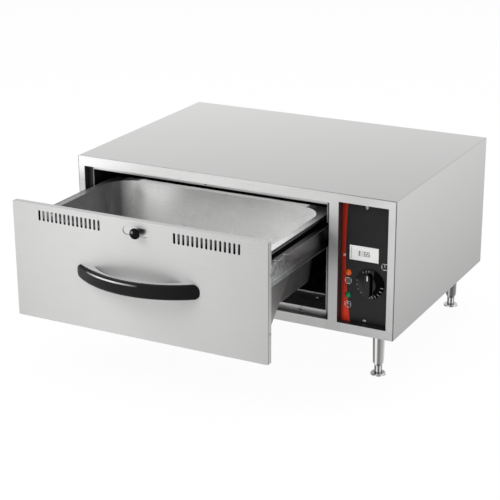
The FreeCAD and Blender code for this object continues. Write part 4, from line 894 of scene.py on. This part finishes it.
def dial():
    """Thermostat knob: a skirt with printed marks and a tall rounded grip. Gives its middle, x and z."""
    low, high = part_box("thermostat_knob")
    x, z = (low.x + high.x) / 2, (low.z + high.z) / 2
    radius, back, front = (high.x - low.x) / 2, high.y, low.y
    rise, flat, foot, lip = 7.0 * MM, 15.5 * MM, 1.6 * MM, 0.8 * MM
    slope = (rise - foot - lip) / (radius - lip - flat)
    work = bmesh.new()
    profile = [(0, 0), (radius, 0), (radius, foot), (radius - 0.2 * lip, foot + 0.6 * lip),
               (radius - lip, foot + lip), (flat + lip, rise - slope * lip), (flat, rise - 0.2 * lip),
               (flat - lip, rise), (0, rise)]
    turned(work, profile, (x, back, z), (0, -1, 0), 96)
    skirt = add("dial_skirt", smooth(finished("dial_skirt", work), 40), DIAL_BLACK, "dial")
    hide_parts("thermostat_knob")

    def grip_outline(half, reach):
        """A slot's outline."""
        ends = (z + reach - half, 0), (z - reach + half, 180)
        return [spot for end, start in ends for spot in arc_points(x, end, half, start, start + 180, 14)]

    work = bmesh.new()
    grip_long, draft, sunk = 0.78 * radius, 1.5 * MM, 1.5 * MM
    crest_half, root_half = 6.2 * MM, 9.0 * MM
    loft(work, grip_outline(crest_half, grip_long), front, grip_outline(root_half, grip_long + draft),
         back - rise + sunk)
    grip = add("dial_grip", finished("dial_grip", work), DIAL_BLACK, "dial")
    grip.data.shade_smooth()
    soften(grip, 1.2 * MM, 4)
    half, tail, tip = 1.2 * MM, z + grip_long - 13 * MM, z + grip_long - 2.6 * MM
    pointer = [(x - half, tail), (x + half, tail), (x + half, tip), (x - half, tip)]
    printed("dial_pointer", [pointer], front, PRINT_WHITE, "dial")

    def on_flank(u, w):
        """How far the skirt's flank falls back at a place."""
        return slope * (math.hypot(u - x, w - z) - flat)

    marks, line = [], 1.1 * MM
    middle = radius - 3.6 * MM
    lengths = {4.6 * MM: (-8, -27, -45, -62, -77, -89), 1.8 * MM: (-131, -151, -172, 169, 120, 93),
               2.4 * MM: (106,)}
    for reach, angles in lengths.items():
        for angle in angles:
            turn = math.radians(angle)
            outs = (middle - reach / 2, middle + reach / 2)
            marks += stroke([(x + out * math.cos(turn), z + out * math.sin(turn)) for out in outs], line)
    printed("dial_marks", marks, back - rise, PRINT_GREY, "dial", 1.5, on_flank)
    return x, z


DIAL_X, DIAL_Z = dial()


def control_print():
    """The overlay's red stripe and its small white signs."""
    low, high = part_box("control_panel")
    bay, steps = 6 * MM, 24
    left = low.x + bay + 1.0 * MM
    base, top = low.z + bay, high.z - bay
    wide, narrowing, widening = 21.0, 38.0, 30.5
    right_edge = []
    for step in range(steps + 1):
        t = step / steps
        right_edge.append((left + (wide - narrowing * t + widening * t * t) * MM, base + (top - base) * t))
    stripe = []
    for (x, z), (u, w) in zip(right_edge, right_edge[1:]):
        stripe.append([(left, z), (x, z), (u, w), (left, w)])
    printed("panel_stripe", stripe, PANEL_FACE, PRINT_RED, "cabinet")

    line, half, corner = 1.1 * MM, 6.2 * MM, 1.6 * MM

    def framed(x, z):
        """A small rounded frame."""
        return stroke(rounded_box(x, z, half, half, corner), line, closed=True)

    def upright(x, foot, head, width):
        """An upright line."""
        return stroke([(x, foot), (x, head)], width)

    x, _, z = ORANGE_AT
    z -= 17.8 * MM
    signs = framed(x, z)
    mark_x, mark_z = x - 9.0 * MM, z + 54 * MM
    for offset in (-1.4, 1.4):
        signs += upright(mark_x + offset * MM, mark_z - 2.2 * MM, mark_z + 2.2 * MM, 1.2 * MM)
    sway, rise, foot = 0.7, 0.9, -3.6
    for offset in (-2.8, 0.0, 2.8):
        wave = [(x + (offset + sway * math.sin(step * rise)) * MM, z + (step * rise + foot) * MM)
                for step in range(9)]
        signs += stroke(wave, 1.0 * MM)
    x, _, z = GREEN_AT
    z -= 20.4 * MM
    signs += framed(x, z)
    signs += stroke(arc_points(x, z, 3.1 * MM, 125, 415), line)
    signs += upright(x, z + 0.6 * MM, z + 4.0 * MM, line)
    x, z = DIAL_X + 31 * MM, DIAL_Z + 41 * MM
    signs += framed(x, z)
    signs += upright(x, z - 0.6 * MM, z + 4.0 * MM, 1.0 * MM)
    signs += stroke(arc_points(x, z - 2.2 * MM, 1.5 * MM, 0, 360), 0.9 * MM)
    printed("panel_signs", signs, PANEL_FACE, PRINT_WHITE, "cabinet", coats=2)


control_print()


def thermometer_details():
    """A thin dark line on the white plate, a level bar and two digits on the pane."""
    low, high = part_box("thermometer_bezel")
    margin, start = 2.5 * MM, low.x + 4.2 * MM
    end = start + 0.5 * MM
    line = [(start, low.z + margin), (end, low.z + margin), (end, high.z - margin), (start, high.z - margin)]
    printed("meter_line", [line], low.y, PRINT_DARK, "cabinet")
    pane_low, pane_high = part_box("thermometer_glass")
    x, z = (pane_low.x + pane_high.x) / 2, (pane_low.z + pane_high.z) / 2
    lit = {"6": "acdefg", "5": "acdfg"}
    bars = {"a": (0, 1, "x"), "g": (0, 0, "x"), "d": (0, -1, "x"), "b": (1, 0.5, "z"), "c": (1, -0.5, "z"),
            "e": (-1, -0.5, "z"), "f": (-1, 0.5, "z")}
    half_wide, half_tall, thick = 2.3 * MM, 4.2 * MM, 0.9 * MM
    bar_x = pane_low.x + 3.2 * MM
    segments = stroke([(bar_x, z - half_tall), (bar_x, z + half_tall + MM)], 1.6 * MM)
    for digit, centre in zip("65", (x + 2.4 * MM, x + 9.2 * MM)):
        for key in lit[digit]:
            across, up, way = bars[key]
            at_x, at_z = centre + across * half_wide, z + up * half_tall
            reach_x, reach_z = (half_wide * 0.8, 0) if way == "x" else (0, half_tall * 0.42)
            segments += stroke([(at_x - reach_x, at_z - reach_z), (at_x + reach_x, at_z + reach_z)], thick)
    printed("meter_digits", segments, pane_low.y, PRINT_DARK, "cabinet")


thermometer_details()

# ---------------------------------------------------------------- drawer front


def vent_button():
    """The shutter's round knob, with a soft dome and a waist behind it."""
    low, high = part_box("vent_knob")
    x, z = (low.x + high.x) / 2, (low.z + high.z) / 2
    radius, length = (high.x - low.x) / 2, high.y - low.y
    stem, rim, crown = 4 * MM, 4 * MM, 0.6 * MM
    profile = [(0, 0), (stem, 0), (stem, length - 12 * MM), (stem + 1.5 * MM, length - 11 * MM),
               (radius - 2 * MM, length - 8.4 * MM), (radius, length - 6 * MM)]
    for step in range(9):
        angle = math.pi / 2 * step / 8
        profile.append((radius - rim + rim * math.cos(angle), length - crown - rim + rim * math.sin(angle)))
    for step in range(1, 6):
        share = step / 5
        profile.append(((radius - rim) * (1 - share), length - crown * (1 - share) ** 2))
    work = bmesh.new()
    turned(work, profile, (x, high.y, z), (0, -1, 0))
    piece = add("vent_button", smooth(finished("vent_button", work), 50), OWN["vent_knob"], "shutter")
    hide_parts("vent_knob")


vent_button()

# ---------------------------------------------------------------- stage


def floor():
    """A white floor that keeps a soft shadow and is clear from below."""
    reach, drop = 14.0, -0.4 * MM
    corners = ((-reach, -reach), (reach, -reach), (reach, reach), (-reach, reach))
    work = bmesh.new()
    work.faces.new([work.verts.new((x, y, drop)) for x, y in corners])
    piece = placed("floor", finished("floor", work))
    material = bpy.data.materials.new("floor")
    made = Tree(material)
    made.nodes.clear()
    rays = made.node("LightPath").outputs
    seen = made.math("MAXIMUM", rays["Is Camera Ray"], rays["Is Glossy Ray"])
    seen = made.math("MAXIMUM", seen, rays["Is Transmission Ray"])
    light_grey, own_light = (0.86, 0.86, 0.86, 1), 0.95
    matt = made.node("BsdfDiffuse", {"Color": light_grey}).outputs[0]
    glow = made.node("Emission", {"Strength": 1.0}).outputs[0]
    bright = made.node("BsdfDiffuse", {"Color": (1, 1, 1, 1)}).outputs[0]
    lit = made.node("MixShader", {0: own_light, 1: bright, 2: glow}).outputs[0]
    both = made.node("MixShader", {0: seen, 1: matt, 2: lit}).outputs[0]
    below = made.node("NewGeometry").outputs["Backfacing"]
    clear = made.node("BsdfTransparent").outputs[0]
    sided = made.node("MixShader", {0: below, 1: both, 2: clear}).outputs[0]
    made.node("OutputMaterial", {"Surface": sided})
    piece.data.materials.append(material)


floor()


def surroundings():
    """White to the eye, a little greyer to the right in reflections, and a softer light on matt surfaces."""
    world = bpy.data.worlds.new("studio")
    bpy.context.scene.world = world
    made = Tree(world)
    made.nodes.clear()
    rays = made.node("LightPath").outputs
    toward = made.node("TexCoord").outputs["Generated"]
    across = made.node("SeparateXYZ", {0: toward}).outputs["X"]
    matt, left, right = 0.62, 1.0, 0.7
    shine = made.spread(across, left, right, -0.2, 1.0)
    level = made.pick(rays["Is Glossy Ray"], matt, shine)
    clear = made.math("MAXIMUM", rays["Is Camera Ray"], rays["Is Transmission Ray"])
    strength = made.pick(clear, level, 1.0)
    sky = made.node("Background", {"Color": (1, 1, 1, 1), "Strength": strength}).outputs[0]
    made.node("OutputWorld", {"Surface": sky})


surroundings()


def lamp(name, place, aim, across, watts):
    """A square soft lamp that faces a point and isn't mirrored in the steel."""
    light = bpy.data.lights.new(name, "AREA")
    light.shape = "SQUARE"
    light.size = across
    light.energy = watts
    holder = placed(name, light)
    holder.visible_glossy = False
    holder.location = place
    holder.rotation_euler = (Vector(aim) - Vector(place)).to_track_quat("-Z", "Y").to_euler()


CENTRE = (0.0, 0.0, 0.2)
lamp("key", (-1.9, -2.2, 2.6), CENTRE, 1.8, 62)
lamp("top", (0.3, 0.6, 3.0), CENTRE, 2.2, 34)
lamp("side", (3.0, -0.6, 1.3), CENTRE, 1.6, 16)

# ---------------------------------------------------------------- camera


def camera():
    """The photograph's view: right of the front, a little above."""
    place = Vector((1.3844, -2.6684, 1.2739))
    azimuth, elevation, roll = (math.radians(angle) for angle in (27.598, 19.66, -0.244))
    focal, middle_x, middle_y, frame_px = 1478.83, 250.70, 249.70, 500.0
    data = bpy.data.cameras.new("camera")
    data.sensor_width = 36.0
    data.lens = focal / frame_px * data.sensor_width
    data.shift_x = (frame_px / 2 - middle_x) / frame_px
    data.shift_y = (middle_y - frame_px / 2) / frame_px
    data.clip_end = 60.0
    item = placed("camera", data)
    away = Vector((-math.sin(azimuth) * math.cos(elevation), math.cos(azimuth) * math.cos(elevation),
                   -math.sin(elevation)))
    turn = away.to_track_quat("-Z", "Y").to_matrix() @ Matrix.Rotation(roll, 3, "Z")
    item.matrix_world = Matrix.Translation(place) @ turn.to_4x4()
    bpy.context.scene.camera = item


camera()
bpy.context.scene.view_settings.view_transform = "Standard"
